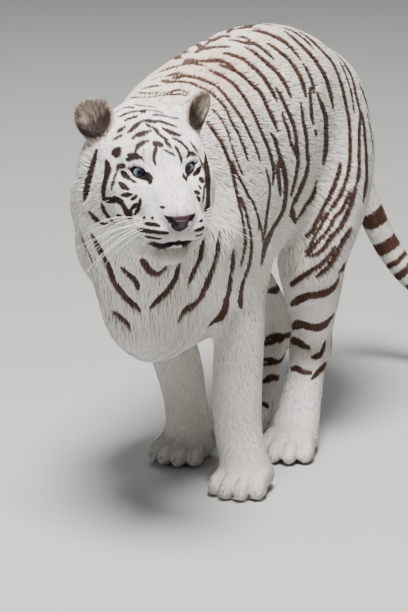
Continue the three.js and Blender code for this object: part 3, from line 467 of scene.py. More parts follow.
def surface_nets(D, lo, h):
    S = D < 0
    n = np.array(D.shape)
    c = np.zeros(n - 1, np.int8)
    for a in (0, 1):
        for b in (0, 1):
            for e in (0, 1):
                c += S[a : n[0] - 1 + a, b : n[1] - 1 + b, e : n[2] - 1 + e]
    act = (c > 0) & (c < 8)
    cells = np.argwhere(act)
    vid = -np.ones(act.shape, np.int64)
    vid[act] = np.arange(len(cells))
    acc, cnt = np.zeros((len(cells), 3)), np.zeros(len(cells))
    corners = [(a, b, e) for a in (0, 1) for b in (0, 1) for e in (0, 1)]
    val = {co: D[cells[:, 0] + co[0], cells[:, 1] + co[1], cells[:, 2] + co[2]].astype(float) for co in corners}
    for c0 in corners:
        for ax in range(3):
            if c0[ax] == 0:
                c1 = list(c0)
                c1[ax] = 1
                v0, v1 = val[c0], val[tuple(c1)]
                m = (v0 < 0) != (v1 < 0)
                p = np.array(c0, float)[None] + 0 * acc
                p[:, ax] = np.where(m, v0 / (v0 - v1 + 1e-20), 0)
                acc += np.where(m[:, None], p, 0)
                cnt += m
    V = lo + (cells + acc / np.maximum(cnt, 1)[:, None]) * h
    quads = []
    for ax in range(3):
        b, c_ = (ax + 1) % 3, (ax + 2) % 3
        s0 = S[tuple(slice(0, n[i] - 1) if i == ax else slice(None) for i in range(3))]
        s1 = S[tuple(slice(1, n[i]) if i == ax else slice(None) for i in range(3))]
        idx = np.argwhere(s0 != s1)
        idx = idx[(idx[:, b] > 0) & (idx[:, c_] > 0) & (idx[:, b] < n[b] - 1) & (idx[:, c_] < n[c_] - 1)]

        def at(db, dc):
            j = idx.copy()
            j[:, b] += db
            j[:, c_] += dc
            return vid[j[:, 0], j[:, 1], j[:, 2]]

        q = np.stack([at(-1, -1), at(0, -1), at(0, 0), at(-1, 0)], 1)
        flip = ~s0[idx[:, 0], idx[:, 1], idx[:, 2]]
        q[flip] = q[flip][:, ::-1]
        quads.append(q)
    return V, np.concatenate(quads)


def halves(V, Q):
    """Quads to triangles across the shorter diagonal."""
    a = np.linalg.norm(V[Q[:, 0]] - V[Q[:, 2]], axis=1) <= np.linalg.norm(V[Q[:, 1]] - V[Q[:, 3]], axis=1)
    A, B = Q[a], Q[~a]
    return np.concatenate([A[:, [0, 1, 2]], A[:, [0, 2, 3]], B[:, [0, 1, 3]], B[:, [1, 2, 3]]])


def edges_of(T):
    E = np.sort(np.concatenate([T[:, [0, 1]], T[:, [1, 2]], T[:, [2, 0]]]), 1)
    return np.unique(E, axis=0, return_inverse=True)


def refine(V, T, want):
    """Split in four each triangle that wants it, and its neighbours so that no gap opens."""
    E, inv = edges_of(T)
    inv = inv.reshape(3, -1).T
    tri = want[T].all(1)
    cut = np.zeros(len(E), bool)
    cut[inv[tri].ravel()] = True
    new = -np.ones(len(E), np.int64)
    new[cut] = len(V) + np.arange(cut.sum())
    V = np.concatenate([V, V[E[cut]].mean(1)])
    m = new[inv]
    k = (m >= 0).sum(1)
    out = [T[k == 0]]
    t, q = T[k == 3], m[k == 3]
    for a, b, c in ((t[:, 0], q[:, 0], q[:, 2]), (q[:, 0], t[:, 1], q[:, 1]), (q[:, 2], q[:, 1], t[:, 2]), (q[:, 0], q[:, 1], q[:, 2])):
        out.append(np.stack([a, b, c], 1))
    t, q = T[k == 1], m[k == 1]
    if len(t):
        s = q.argmax(1)
        r = np.arange(len(t))
        a, b, c, x = t[r, s], t[r, (s + 1) % 3], t[r, (s + 2) % 3], q[r, s]
        out += [np.stack([a, x, c], 1), np.stack([x, b, c], 1)]
    t, q = T[k == 2], m[k == 2]
    if len(t):
        s = (q < 0).argmax(1)  # the uncut edge runs s -> s+1
        r = np.arange(len(t))
        a, b, c = t[r, s], t[r, (s + 1) % 3], t[r, (s + 2) % 3]
        x, y = q[r, (s + 1) % 3], q[r, (s + 2) % 3]  # on b-c and c-a
        out += [np.stack([a, b, x], 1), np.stack([a, x, y], 1), np.stack([y, x, c], 1)]
    return V, np.concatenate(out)


def normals(V, T):
    n = np.cross(V[T[:, 1]] - V[T[:, 0]], V[T[:, 2]] - V[T[:, 0]])
    N = np.zeros_like(V)
    for i in range(3):
        for k in range(3):
            N[:, k] += np.bincount(T[:, i], n[:, k], len(V))
    return unit(N)


def relax(X, E, times, amount=0.6, hold=None):
    """Plain smoothing of values on vertices; hold (0..1) keeps a vertex as it is."""
    n = len(X)
    deg = np.bincount(E.ravel(), minlength=n).astype(float)
    g = amount if hold is None else amount * (1 - hold)
    X = X.copy()
    flat = X.ndim == 1
    if flat:
        X = X[:, None]
    g = np.broadcast_to(g, (n,))[:, None]
    for _ in range(times):
        S = np.stack([np.bincount(E[:, 0], X[E[:, 1], k], n) + np.bincount(E[:, 1], X[E[:, 0], k], n) for k in range(X.shape[1])], 1)
        X = X + g * (S / deg[:, None] - X)
    return X[:, 0] if flat else X


def make_skin(S):
    h = 5.6
    lo = np.array([-275, -640, -14.0])
    hi = np.array([345, 980, 940.0])
    D = narrow_grid(S.base, lo, hi, h)
    log("grid", D.shape)
    V, Q = surface_nets(D, lo, h)
    T = halves(V, Q)
    E, _ = edges_of(T)
    hh = head_axes(V)
    keep = step(230, 170, np.linalg.norm(hh - [0, -10, -20], axis=1))
    keep = np.maximum(keep, 0.55 * step(110, 60, V[:, 2]))
    body = relax(V, E, 26, 0.6, np.minimum(1, keep + 0.0))
    N = normals(body, T)
    off = relax(S.base(body), E, 12, 0.6)  # the smoothed-out shrinkage only, not the ripples
    body = body - N * (off * (1 - keep))[:, None]
    V = body * (1 - keep[:, None]) + V * keep[:, None]
    log("skin base", len(V), len(T))
    # finer where the detail is: the head, then the face's features, and the toes
    def face(P, r=1.0):
        q = head_axes(P)
        return (np.linalg.norm((q - [0, 20, -45]) / [98, 118, 112], axis=1) < r) | (np.abs(q[:, 0]) > 55) & (q[:, 2] > 30) & (np.linalg.norm(q - [0, -110, 60], axis=1) < 150)

    V, T = refine(V, T, face(V) | (V[:, 2] < 62))

    def fine(P):
        q = head_axes(P)
        m = (np.abs(q[:, 0]) < 36) & (q[:, 1] > 66) & (q[:, 2] > -132) & (q[:, 2] < -40)
        for s in SIDES:
            m |= np.linalg.norm((P - EYES[s]) , axis=1) < 44
        m |= (q[:, 1] > 0) & (np.abs(q[:, 2] + 116) < 12) & (np.abs(q[:, 0]) < 80)
        return m

    q = head_axes(V)
    sel = np.nonzero((np.linalg.norm(q - [0, 0, -30], axis=1) < 235) | (V[:, 2] < 75))[0]
    for _ in range(2):
        g = S.grad(V[sel])
        V[sel] -= g * (S(V[sel]) / np.maximum((g * g).sum(1), 0.2))[:, None] * 0.9
    V, T = refine(V, T, fine(V))
    E, _ = edges_of(T)
    q = head_axes(V)
    sel = np.nonzero((np.linalg.norm(q - [0, 20, -40], axis=1) < 150))[0]
    for i in range(3):
        g = S.grad(V[sel], 0.4)
        stepv = -g * (S(V[sel]) / np.maximum((g * g).sum(1), 0.3))[:, None]
        V[sel] += stepv * np.minimum(1, 4 / np.maximum(np.linalg.norm(stepv, axis=1), 1e-6))[:, None]
        if i < 2:
            hold = np.ones(len(V))
            hold[sel] = 0.55
            V = relax(V, E, 2, 0.5, hold)
    V[:, 2] = np.maximum(V[:, 2], 0.35)
    log("skin", len(V), len(T))
    return V, T, (D, lo, h)


# ------------------------------------------------------------------ markings
# Each mark: where it lies (b body, h head, c either), half-width mm, strength, and a run of
# points x, y, z on the coat, mm. The runs are joined by smooth curves laid on the form.
MARKS = [
    ("b", (7.3, 7.8, 6.5), 1.0, [-95, 65, 886, -74, 56, 896, -57, 56, 901]),
    ("b", (3.6, 4.7, 7.0), 1.0, [-91, 177, 891, -51, 96, 904, -41, 81, 903]),
    ("b", (7.0, 9.8, 6.6), 1.0, [-44, 46, 901, -45, 79, 902, -35, 88, 905, -22, 101, 905, -9, 115, 904, 3, 124, 903]),
    ("b", (5.6, 10.2, 12.4), 1.0, [-48, 118, 904, -49, 151, 906, -46, 173, 909, -39, 191, 910, -24, 185, 911]),
    ("b", (5.8, 5.8, 5.8), 0.7, [-92, 210, 891, -81, 215, 898, -62, 205, 906]),
    ("b", (8.4, 9.2, 9.8), 0.9, [-39, 222, 912, -39, 250, 913, -27, 264, 914, -19, 287, 914, -27, 348, 907, -16, 380, 904]),
    ("b", (7.3, 6.8, 5.8), 0.7, [-26, 266, 914, -8, 279, 915, 12, 295, 911]),
    ("b", (5.4, 7.1, 6.5), 1.0, [-4, 192, 911, 7, 199, 910, 20, 198, 906]),
    ("b", (7.5, 6.8, 5.7), 1.0, [-11, 162, 909, -1, 170, 908, 12, 171, 905, 23, 180, 902, 31, 192, 900, 44, 193, 894, 57, 193, 885, 76, 193, 868]),
    ("b", (6.7, 8.1, 7.3), 1.0, [27, 156, 898, 41, 157, 890, 57, 158, 880, 70, 160, 869, 80, 163, 859, 90, 170, 848, 100, 172, 834, 111, 175, 817, 122, 173, 795]),
    ("b", (7.4, 6.4, 6.3), 1.0, [5, 81, 897, 15, 89, 895, 27, 97, 889, 40, 106, 882, 55, 107, 870, 70, 111, 857, 82, 114, 843, 93, 114, 828, 103, 115, 811, 111, 116, 796]),
    ("b", (6.0, 6.0, 5.5), 1.0, [-55, 4, 895, -42, 5, 896, -27, 5, 895, -12, 13, 892, -3, 28, 891, 6, 40, 890, 17, 48, 887, 29, 52, 880, 42, 48, 869, 51, 54, 862, 64, 60, 849, 75, 65, 837, 86, 73, 824, 95, 75, 808, 105, 75, 788, 114, 79, 767, 123, 87, 740]),
    ("b", (8.6, 5.4, 5.7), 1.0, [-46, -29, 890, -39, -16, 892, -28, -11, 892, -15, -9, 890, -5, -6, 887]),
    ("b", (7.8, 8.1, 8.4), 1.0, [-43, -12, 893, -32, -6, 894]),
    ("b", (4.0, 4.5, 4.9), 1.0, [13, 28, 884, 24, 33, 879, 36, 42, 872, 46, 51, 866]),
    ("b", (5.6, 6.6, 6.6), 0.85, [-86, -64, 878, -73, -58, 884, -61, -50, 888, -47, -28, 890]),
    ("b", (3.8, 4.7, 4.7), 0.5, [-88, -106, 869, -75, -100, 875, -63, -92, 878]),
    ("b", (5.8, 5.2, 4.7), 0.85, [-60, -94, 878, -50, -88, 880, -43, -76, 881, -32, -71, 882]),
    ("b", (5.1, 6.2, 5.3), 1.0, [-42, -101, 876, -33, -90, 877, -25, -77, 878, -10, -71, 876, 5, -64, 872, 21, -59, 866, 34, -53, 859, 48, -54, 849, 64, -56, 832, 77, -53, 814, 87, -48, 797, 97, -42, 778, 105, -38, 756, 113, -27, 732, 119, -20, 708, 121, -18, 697]),
    ("b", (4.9, 6.7, 5.8), 1.0, [-61, -113, 872, -48, -113, 872, -35, -113, 871]),
    ("b", (4.9, 4.8, 4.7), 0.75, [-36, -113, 871, -24, -104, 872, -11, -97, 870, 0, -92, 867, 15, -92, 861, 29, -88, 855, 39, -87, 850, 50, -88, 841, 61, -86, 830, 71, -84, 817, 80, -88, 799, 88, -86, 783, 97, -80, 764, 103, -78, 747, 108, -74, 729, 113, -72, 710]),
    ("b", (2.9, 3.1, 3.1), 0.65, [52, -120, 822, 61, -115, 813, 71, -113, 800, 81, -111, 782, 90, -112, 758, 98, -112, 730, 106, -105, 704, 111, -99, 685]),
    ("b", (3.7, 4.3, 6.3), 1.0, [51, -146, 800, 60, -144, 788, 72, -140, 770, 81, -136, 754, 88, -133, 735, 95, -130, 715, 100, -126, 696, 103, -126, 675, 109, -125, 654, 114, -127, 634, 119, -127, 616, 122, -126, 595, 124, -125, 573, 125, -119, 548, 122, -123, 524, 117, -126, 502]),
    ("b", (2.6, 3.3, 4.1), 0.85, [98, -122, 716, 103, -117, 698, 109, -110, 680, 115, -98, 659, 120, -87, 638, 124, -70, 621, 127, -58, 601, 129, -47, 580, 131, -33, 556, 132, -30, 528]),
    ("b", (5.0, 6.3, 4.7), 1.0, [114, -115, 641, 118, -111, 627, 122, -105, 609, 125, -100, 588, 127, -95, 566, 128, -90, 542, 127, -89, 516, 124, -93, 494, 118, -98, 474, 110, -97, 451, 102, -81, 427, 96, -67, 396]),
    ("b", (2.8, 3.3, 4.1), 0.7, [124, -73, 621, 128, -56, 597, 130, -48, 575, 130, -52, 558]),
    ("b", (6.0, 6.3, 7.0), 1.0, [7, -11, 879, 22, -5, 872, 35, 2, 863, 48, 10, 852, 61, 13, 839, 74, 15, 822, 84, 15, 806, 95, 18, 785, 104, 21, 762, 113, 28, 736, 120, 39, 710, 125, 44, 686, 128, 50, 664, 129, 39, 637]),
    ("b", (3.9, 4.6, 4.4), 0.8, [-96, -135, 856, -83, -135, 861, -66, -134, 865, -54, -131, 866]),
    ("b", (3.0, 2.4, 2.8), 0.8, [-99, -152, 852, -77, -163, 856, -59, -164, 857, -47, -157, 858, -32, -150, 856, -22, -132, 859, -8, -123, 857, 5, -122, 851]),
    ("b", (2.6, 2.1, 2.2), 0.75, [-112, -157, 841, -90, -175, 848, -72, -181, 851, -56, -178, 852, -43, -167, 854, -27, -153, 853, -11, -137, 853, 3, -130, 848]),
    ("b", (5.3, 6.8, 7.3), 0.85, [-6, 352, 908, 7, 379, 904, 30, 385, 898, 48, 400, 890, 67, 397, 880, 82, 398, 869, 97, 395, 855]),
    ("b", (8.8, 5.2, 4.0), 1.0, [52, 435, 882, 70, 435, 872, 88, 432, 859, 107, 437, 839, 123, 451, 814, 136, 448, 791, 146, 443, 768, 156, 436, 744, 163, 429, 722, 170, 423, 697, 178, 407, 668, 184, 389, 640, 189, 369, 614, 191, 349, 592, 190, 327, 572, 186, 306, 554, 180, 289, 539, 173, 274, 526]),
    ("b", (10.3, 11.2, 7.2), 1.0, [6, 260, 913, 18, 269, 910, 31, 279, 906, 43, 281, 901, 56, 290, 892, 70, 296, 882, 84, 297, 870, 93, 294, 861, 102, 295, 849]),
    ("b", (8.8, 9.3, 9.8), 1.0, [46, 359, 895, 59, 354, 888, 74, 349, 878, 88, 351, 866, 99, 354, 854, 110, 360, 842, 120, 362, 826, 129, 368, 809, 137, 370, 791, 143, 369, 771, 147, 370, 754, 151, 371, 736]),
    ("b", (6.2, 9.6, 8.8), 1.0, [51, 227, 893, 63, 234, 885, 77, 237, 874, 89, 247, 861, 101, 248, 846, 112, 249, 830, 121, 249, 812, 127, 245, 799, 132, 241, 784]),
    ("b", (5.9, 6.8, 6.6), 1.0, [109, 294, 840, 117, 296, 826, 125, 294, 810, 131, 293, 795, 136, 286, 782]),
    ("b", (5.7, 7.0, 8.0), 1.0, [131, 277, 795, 135, 263, 781, 140, 253, 762, 144, 245, 742, 147, 246, 723]),
    ("b", (6.0, 6.4, 5.7), 0.6, [150, 252, 705, 151, 259, 698]),
    ("b", (8.2, 12.1, 8.6), 1.0, [138, 301, 778, 143, 303, 761, 148, 316, 739, 151, 322, 717, 152, 319, 691, 153, 316, 664, 154, 308, 644, 154, 302, 628]),
    ("b", (6.4, 7.0, 7.3), 1.0, [102, 134, 820, 110, 136, 806, 120, 138, 786, 128, 143, 765, 135, 149, 743, 141, 152, 718, 144, 151, 691, 146, 153, 665, 144, 148, 640, 142, 141, 618, 138, 131, 592]),
    ("b", (5.1, 4.7, 4.2), 1.0, [122, 120, 770, 128, 119, 751, 134, 125, 731, 138, 127, 707, 143, 141, 684, 146, 153, 663]),
    ("b", (6.4, 8.8, 8.1), 1.0, [133, 206, 773, 138, 202, 757, 142, 196, 737, 146, 200, 715, 149, 201, 691, 150, 199, 671, 150, 206, 645]),
    ("b", (10.5, 10.4, 5.4), 1.0, [151, 214, 659, 150, 205, 640, 148, 198, 619, 145, 180, 602, 140, 165, 582, 136, 150, 568, 132, 153, 552, 127, 186, 529, 121, 218, 511]),
    ("b", (5.9, 8.8, 9.5), 1.0, [118, 61, 738, 123, 70, 722, 128, 75, 700, 132, 85, 676, 135, 94, 653, 136, 102, 630, 135, 106, 606, 133, 107, 583, 129, 104, 563, 125, 87, 548, 126, 50, 536, 131, 2, 526, 133, -24, 511, 132, -36, 487]),
    ("b", (7.3, 6.5, 6.0), 1.0, [130, 76, 684, 131, 69, 656, 132, 73, 632, 132, 83, 602]),
    ("b", (6.3, 7.8, 9.0), 0.9, [126, 7, 673, 128, 16, 650, 130, 21, 628, 131, 10, 606, 131, 0, 581, 131, -9, 557, 132, -22, 537]),
    ("b", (6.8, 5.9, 5.0), 0.6, [121, 511, 805, 136, 498, 786, 148, 487, 766, 157, 478, 747, 165, 467, 728, 172, 454, 707]),
    ("b", (6.7, 4.9, 5.7), 1.0, [118, 539, 801, 135, 531, 782, 149, 519, 761, 160, 500, 740, 169, 491, 719, 178, 479, 696, 185, 451, 671, 192, 429, 643, 197, 411, 621, 203, 396, 596, 205, 371, 571]),
    ("b", (7.8, 9.8, 6.3), 0.75, [149, 560, 750, 158, 560, 730, 164, 564, 708, 172, 563, 682, 180, 561, 652]),
    ("b", (6.7, 7.1, 11.3), 0.9, [176, 496, 701, 185, 484, 675, 193, 467, 650, 200, 452, 623, 206, 438, 598, 210, 429, 571, 213, 410, 549, 213, 398, 530]),
    ("b", (5.3, 5.3, 5.3), 0.7, [175, 535, 693, 187, 522, 663, 194, 515, 636, 199, 507, 607]),
    ("b", (5.0, 6.2, 9.8), 0.9, [148, 274, 594, 146, 265, 575, 141, 255, 558, 134, 236, 544, 127, 225, 529, 123, 209, 521]),
    ("b", (4.5, 3.8, 3.7), 1.0, [176, 346, 620, 178, 333, 603, 176, 317, 587, 174, 301, 570, 170, 288, 555, 165, 276, 542, 161, 266, 529, 155, 257, 515, 148, 247, 497, 142, 243, 486, 130, 236, 475]),
    ("b", (3.7, 2.6, 2.7), 0.8, [175, 277, 528, 167, 266, 515, 162, 255, 500, 152, 246, 482, 145, 239, 464, 133, 234, 446]),
    ("b", (6.4, 5.4, 3.9), 1.0, [205, 371, 571, 206, 353, 555, 206, 333, 534, 204, 316, 518, 199, 298, 502, 194, 280, 486, 182, 263, 474, 173, 252, 455, 161, 242, 443, 144, 235, 436]),
    ("b", (4.3, 3.8, 3.4), 0.85, [201, 344, 563, 199, 322, 545, 195, 304, 528, 186, 283, 516, 180, 269, 499, 171, 256, 482, 157, 244, 467, 146, 237, 449, 135, 233, 437]),
    ("b", (7.3, 6.3, 4.7), 0.95, [210, 327, 482, 206, 305, 469, 200, 289, 457, 195, 279, 441, 189, 268, 426, 181, 259, 412, 171, 251, 402, 157, 246, 391]),
    ("b", (4.8, 4.9, 4.4), 1.0, [191, 271, 453, 183, 259, 437, 173, 250, 424, 160, 242, 412, 144, 237, 403, 127, 238, 390, 111, 242, 379, 94, 254, 363]),
    ("b", (8.5, 9.5, 5.8), 1.0, [192, 341, 398, 196, 301, 397, 192, 292, 388]),
    ("b", (10.2, 9.2, 6.5), 1.0, [190, 294, 376, 182, 287, 359, 168, 274, 349, 151, 265, 344, 132, 260, 342, 107, 270, 328, 82, 294, 309]),
    ("b", (12.5, 10.5, 7.3), 1.0, [162, 345, 279, 154, 336, 269, 141, 332, 257, 125, 323, 255, 109, 318, 259, 92, 321, 261, 61, 361, 240]),
    ("b", (7.0, 6.7, 5.3), 1.0, [55, 370, 210, 77, 351, 213, 92, 346, 208, 107, 346, 203]),
    ("b", (4.3, 3.8, 5.4), 1.0, [138, 368, 214, 134, 363, 197, 129, 354, 187, 117, 342, 184]),
    ("b", (5.4, 5.5, 5.6), 1.0, [72, 328, 160, 88, 321, 162, 104, 316, 158, 121, 320, 157]),
    ("b", (6.0, 4.6, 3.8), 1.0, [140, 378, 163, 137, 346, 159, 131, 327, 152, 126, 312, 145]),
    ("b", (6.7, 5.8, 6.9), 1.0, [-26, 451, 186, -9, 458, 190, 7, 471, 189]),
    ("b", (5.2, 4.8, 4.7), 1.0, [-21, 418, 146, -9, 423, 146, 4, 434, 142]),
    ("b", (5.0, 5.2, 4.8), 1.0, [-7, 390, 111, 3, 403, 113, 10, 437, 99]),
    ("b", (4.7, 5.4, 4.1), 1.0, [4, 352, 66, 11, 358, 60]),
    ("b", (5.3, 7.0, 7.2), 1.0, [-83, -439, 632, -85, -426, 608, -79, -414, 584, -74, -402, 563]),
    ("b", (5.9, 7.1, 5.7), 1.0, [-75, -406, 568, -70, -393, 549, -72, -372, 524, -72, -356, 504, -64, -344, 485, -55, -332, 467, -42, -323, 453, -33, -314, 439]),
    ("b", (6.8, 6.6, 6.6), 0.5, [-126, -405, 616, -120, -393, 588, -116, -382, 565, -110, -371, 544]),
    ("b", (5.7, 7.1, 5.4), 0.6, [-42, -392, 547, -33, -374, 528, -25, -359, 514, -25, -340, 490]),
    ("c", (5.7, 5.7, 5.7), 0.95, [1, -388, 566, 4, -368, 547, 8, -350, 531, 14, -334, 523, 24, -326, 531, 32, -323, 541]),
    ("b", (6.5, 8.8, 6.9), 1.0, [47, -289, 543, 42, -288, 526, 37, -286, 509, 29, -288, 492, 20, -292, 478, 9, -298, 467, -1, -302, 456, -11, -305, 445]),
    ("b", (4.3, 4.7, 6.1), 0.9, [79, -239, 579, 75, -243, 559, 71, -243, 538, 64, -243, 521, 55, -241, 503, 47, -238, 485]),
    ("b", (4.0, 5.9, 9.6), 1.0, [101, -209, 588, 101, -215, 565, 97, -215, 539, 88, -209, 514, 78, -201, 493, 69, -193, 473, 58, -185, 454, 49, -181, 438, 40, -192, 427, 32, -211, 423, 26, -223, 416, 20, -225, 402]),
    ("b", (5.8, 4.8, 5.7), 1.0, [117, -171, 545, 113, -162, 522, 108, -155, 499, 101, -146, 476, 93, -129, 449, 80, -107, 424, 69, -85, 399, 60, -78, 381, 48, -77, 367, 31, -86, 353]),
    ("b", (6.8, 5.7, 5.8), 0.8, [-94, -311, 431, -80, -313, 423, -66, -311, 413, -57, -306, 396]),
    ("h", (2.7, 2.8, 2.4), 1.0, [-32, -425, 862, -22, -419, 866, -10, -417, 870, 2, -415, 873]),
    ("h", (2.5, 2.5, 2.5), 0.6, [-44, -429, 871, -41, -396, 870, -19, -399, 876, -8, -404, 876]),
    ("h", (3.3, 2.9, 2.7), 1.0, [-15, -436, 857, -6, -433, 861, 2, -431, 864, 9, -428, 866]),
    ("h", (2.4, 3.3, 2.0), 1.0, [8, -414, 873, 18, -416, 872]),
    ("h", (2.2, 1.7, 1.7), 0.8, [13, -410, 875, 26, -406, 874, 41, -400, 872, 50, -397, 869]),
    ("h", (2.7, 2.4, 3.0), 1.0, [37, -417, 868, 48, -409, 867, 59, -400, 863]),
    ("h", (2.2, 2.2, 2.2), 0.5, [59, -400, 863, 68, -390, 859, 73, -369, 854]),
    ("h", (2.2, 2.2, 2.2), 0.55, [-14, -388, 880, 3, -395, 880, 17, -394, 879, 32, -389, 877]),
    ("h", (3.8, 4.0, 3.9), 1.0, [22, -438, 859, 33, -435, 860, 46, -432, 858, 51, -428, 858]),
    ("h", (3.2, 3.2, 2.3), 1.0, [34, -443, 854, 42, -447, 849]),
    ("h", (3.6, 4.3, 3.4), 1.0, [24, -438, 859, 14, -447, 853, 10, -453, 847, 5, -457, 842, 0, -459, 838]),
    ("h", (3.4, 2.9, 2.3), 1.0, [50, -426, 859, 61, -422, 856, 72, -416, 851, 82, -405, 845]),
    ("h", (4.0, 6.2, 5.1), 1.0, [14, -468, 830, 23, -464, 837, 33, -461, 839, 45, -453, 844]),
    ("h", (3.6, 4.7, 3.5), 1.0, [64, -436, 847, 75, -433, 841, 84, -428, 836, 93, -414, 831]),
    ("h", (3.2, 2.4, 2.5), 0.8, [46, -444, 851, 56, -448, 843, 64, -452, 836, 72, -451, 831, 79, -448, 827]),
    ("h", (3.8, 4.5, 3.0), 1.0, [27, -486, 809, 29, -479, 817, 35, -474, 823, 46, -469, 827]),
    ("h", (4.4, 4.8, 4.0), 1.0, [60, -467, 823, 66, -466, 821, 71, -463, 820]),
    ("h", (2.9, 2.4, 2.2), 1.0, [64, -470, 817, 63, -476, 808, 63, -482, 797, 68, -487, 786]),
    ("h", (3.5, 3.9, 3.9), 1.0, [76, -454, 826, 81, -454, 821, 87, -453, 814]),
    ("h", (2.3, 2.8, 2.5), 1.0, [85, -438, 829, 96, -428, 822, 106, -424, 812, 114, -424, 803]),
    ("h", (2.9, 3.0, 2.7), 0.8, [110, -403, 816, 117, -404, 807, 124, -401, 797]),
    ("h", (2.9, 2.4, 2.7), 0.8, [94, -444, 814, 99, -445, 806, 105, -446, 795, 108, -448, 783]),
    ("h", (2.2, 2.2, 2.2), 0.7, [78, -465, 811, 88, -461, 805, 96, -455, 799]),
    ("h", (1.8, 1.8, 1.8), 0.4, [42, -481, 811, 44, -487, 801, 45, -490, 792]),
    ("h", (6.0, 5.8, 3.1), 1.0, [15, -492, 802, 25, -492, 801, 35, -491, 798, 43, -490, 796]),
    ("h", (3.4, 4.1, 3.5), 1.0, [15, -496, 793, 24, -495, 794]),
    ("h", (2.9, 5.0, 3.9), 1.0, [113, -433, 791, 116, -424, 798, 119, -418, 796, 123, -410, 789]),
    ("h", (10.9, 8.5, 8.2), 1.0, [-12, -489, 804, -11, -490, 803]),
    ("h", (3.6, 3.8, 3.6), 1.0, [-26, -452, 836, -17, -451, 842, -11, -447, 847]),
    ("h", (3.4, 3.5, 3.2), 0.6, [-28, -466, 823, -19, -463, 829, -11, -461, 833]),
    ("h", (4.1, 4.0, 3.6), 1.0, [-4, -505, 771, -3, -501, 779, 1, -500, 780, 11, -498, 780, 16, -485, 774]),
    ("h", (5.6, 5.1, 3.9), 1.0, [6, -504, 770, 13, -505, 763, 22, -506, 758]),
    ("h", (2.2, 2.4, 2.9), 1.0, [22, -505, 758, 35, -508, 754]),
    ("h", (3.6, 5.1, 4.6), 1.0, [5, -517, 752, 15, -518, 745, 23, -519, 741]),
    ("h", (4.3, 2.2, 3.1), 0.55, [-9, -517, 752, -10, -521, 737]),
    ("h", (2.5, 2.5, 2.5), 0.5, [-5, -506, 769, -7, -513, 759, -5, -518, 750]),
    ("h", (3.6, 4.5, 3.4), 1.0, [13, -524, 729, 23, -525, 731, 34, -526, 733]),
    ("h", (2.6, 3.4, 3.1), 1.0, [36, -531, 725, 44, -531, 731]),
    ("h", (2.9, 2.9, 2.9), 1.0, [55, -535, 728, 54, -538, 716, 51, -537, 707, 44, -536, 696]),
    ("h", (3.9, 4.1, 3.9), 1.0, [35, -536, 705, 41, -536, 712, 47, -536, 717]),
    ("h", (4.3, 4.3, 4.3), 0.8, [34, -536, 700, 34, -536, 688]),
    ("h", (4.8, 4.6, 4.4), 1.0, [-35, -505, 715, -21, -513, 713, 2, -524, 719, 14, -528, 714, 22, -533, 704, 31, -536, 692, 37, -536, 687]),
    ("h", (4.6, 4.6, 4.3), 1.0, [-40, -501, 703, -34, -501, 689, -26, -502, 677, -13, -509, 671]),
    ("h", (3.1, 2.7, 3.4), 1.0, [3, -526, 689, 14, -532, 688]),
    ("h", (8.5, 6.8, 6.5), 1.0, [-34, -490, 784, -27, -501, 769, -29, -508, 750, -33, -508, 732, -35, -505, 713]),
    ("h", (6.4, 8.8, 8.9), 1.0, [-68, -458, 796, -70, -463, 780, -74, -469, 757, -79, -472, 735, -82, -475, 715, -87, -473, 702]),
    ("h", (7.8, 7.8, 7.8), 0.75, [-74, -480, 678, -62, -483, 670, -49, -484, 661]),
    ("h", (3.6, 2.2, 2.3), 0.5, [-50, -483, 660, -30, -490, 660, -2, -520, 674]),
    ("h", (5.9, 6.2, 8.6), 0.95, [127, -367, 788, 134, -379, 777, 142, -399, 762, 148, -409, 745, 152, -416, 727, 157, -429, 710, 157, -444, 692]),
    ("h", (4.6, 3.9, 2.9), 1.0, [130, -408, 769, 129, -415, 763, 126, -431, 757]),
    ("h", (2.4, 2.4, 1.7), 0.7, [127, -401, 786, 133, -400, 774, 138, -404, 763]),
    ("h", (4.6, 5.1, 5.3), 1.0, [139, -422, 748, 140, -423, 747]),
    ("h", (3.9, 3.6, 3.4), 1.0, [145, -446, 739, 146, -448, 738]),
    ("h", (2.4, 3.9, 2.9), 1.0, [145, -471, 734, 149, -463, 732]),
    ("h", (2.4, 3.1, 3.1), 1.0, [150, -472, 724, 153, -469, 719]),
    ("h", (1.9, 3.2, 2.3), 0.8, [147, -424, 736, 154, -448, 724, 155, -459, 711]),
    ("h", (3.4, 4.1, 3.5), 0.95, [118, -464, 767, 123, -471, 761, 128, -474, 756]),
    ("h", (5.0, 5.0, 6.1), 0.95, [45, -477, 765, 63, -505, 764, 66, -514, 756]),
    ("h", (2.8, 2.9, 2.9), 0.95, [70, -551, 685, 83, -559, 686, 95, -563, 687, 105, -563, 685]),
    ("h", (2.9, 2.9, 2.6), 0.95, [50, -542, 669, 73, -558, 672, 97, -568, 673, 120, -558, 671]),
    ("h", (2.5, 2.4, 2.4), 0.6, [73, -558, 659, 89, -564, 659, 108, -565, 659]),
    ("h", (2.9, 3.1, 3.1), 1.0, [63, -542, 692, 64, -542, 692]),
    ("h", (2.2, 2.2, 2.4), 1.0, [86, -554, 697, 87, -555, 697]),
    ("h", (2.4, 2.4, 2.5), 1.0, [101, -547, 718, 109, -549, 718]),
    ("h", (2.4, 2.9, 2.9), 0.95, [163, -525, 671, 171, -518, 673, 175, -506, 675]),
    ("h", (2.1, 2.1, 2.1), 0.7, [168, -512, 687, 170, -500, 688]),
    ("h", (2.1, 2.1, 2.1), 0.5, [164, -521, 659, 173, -508, 661]),
]

TAIL_BANDS = [(62, 10), (118, 12), (172, 13), (226, 13), (276, 11), (323, 12), (432, 19), (506, 15), (550, 7), (581, 9), (619, 11), (664, 13), (712, 15), (790, 36)]
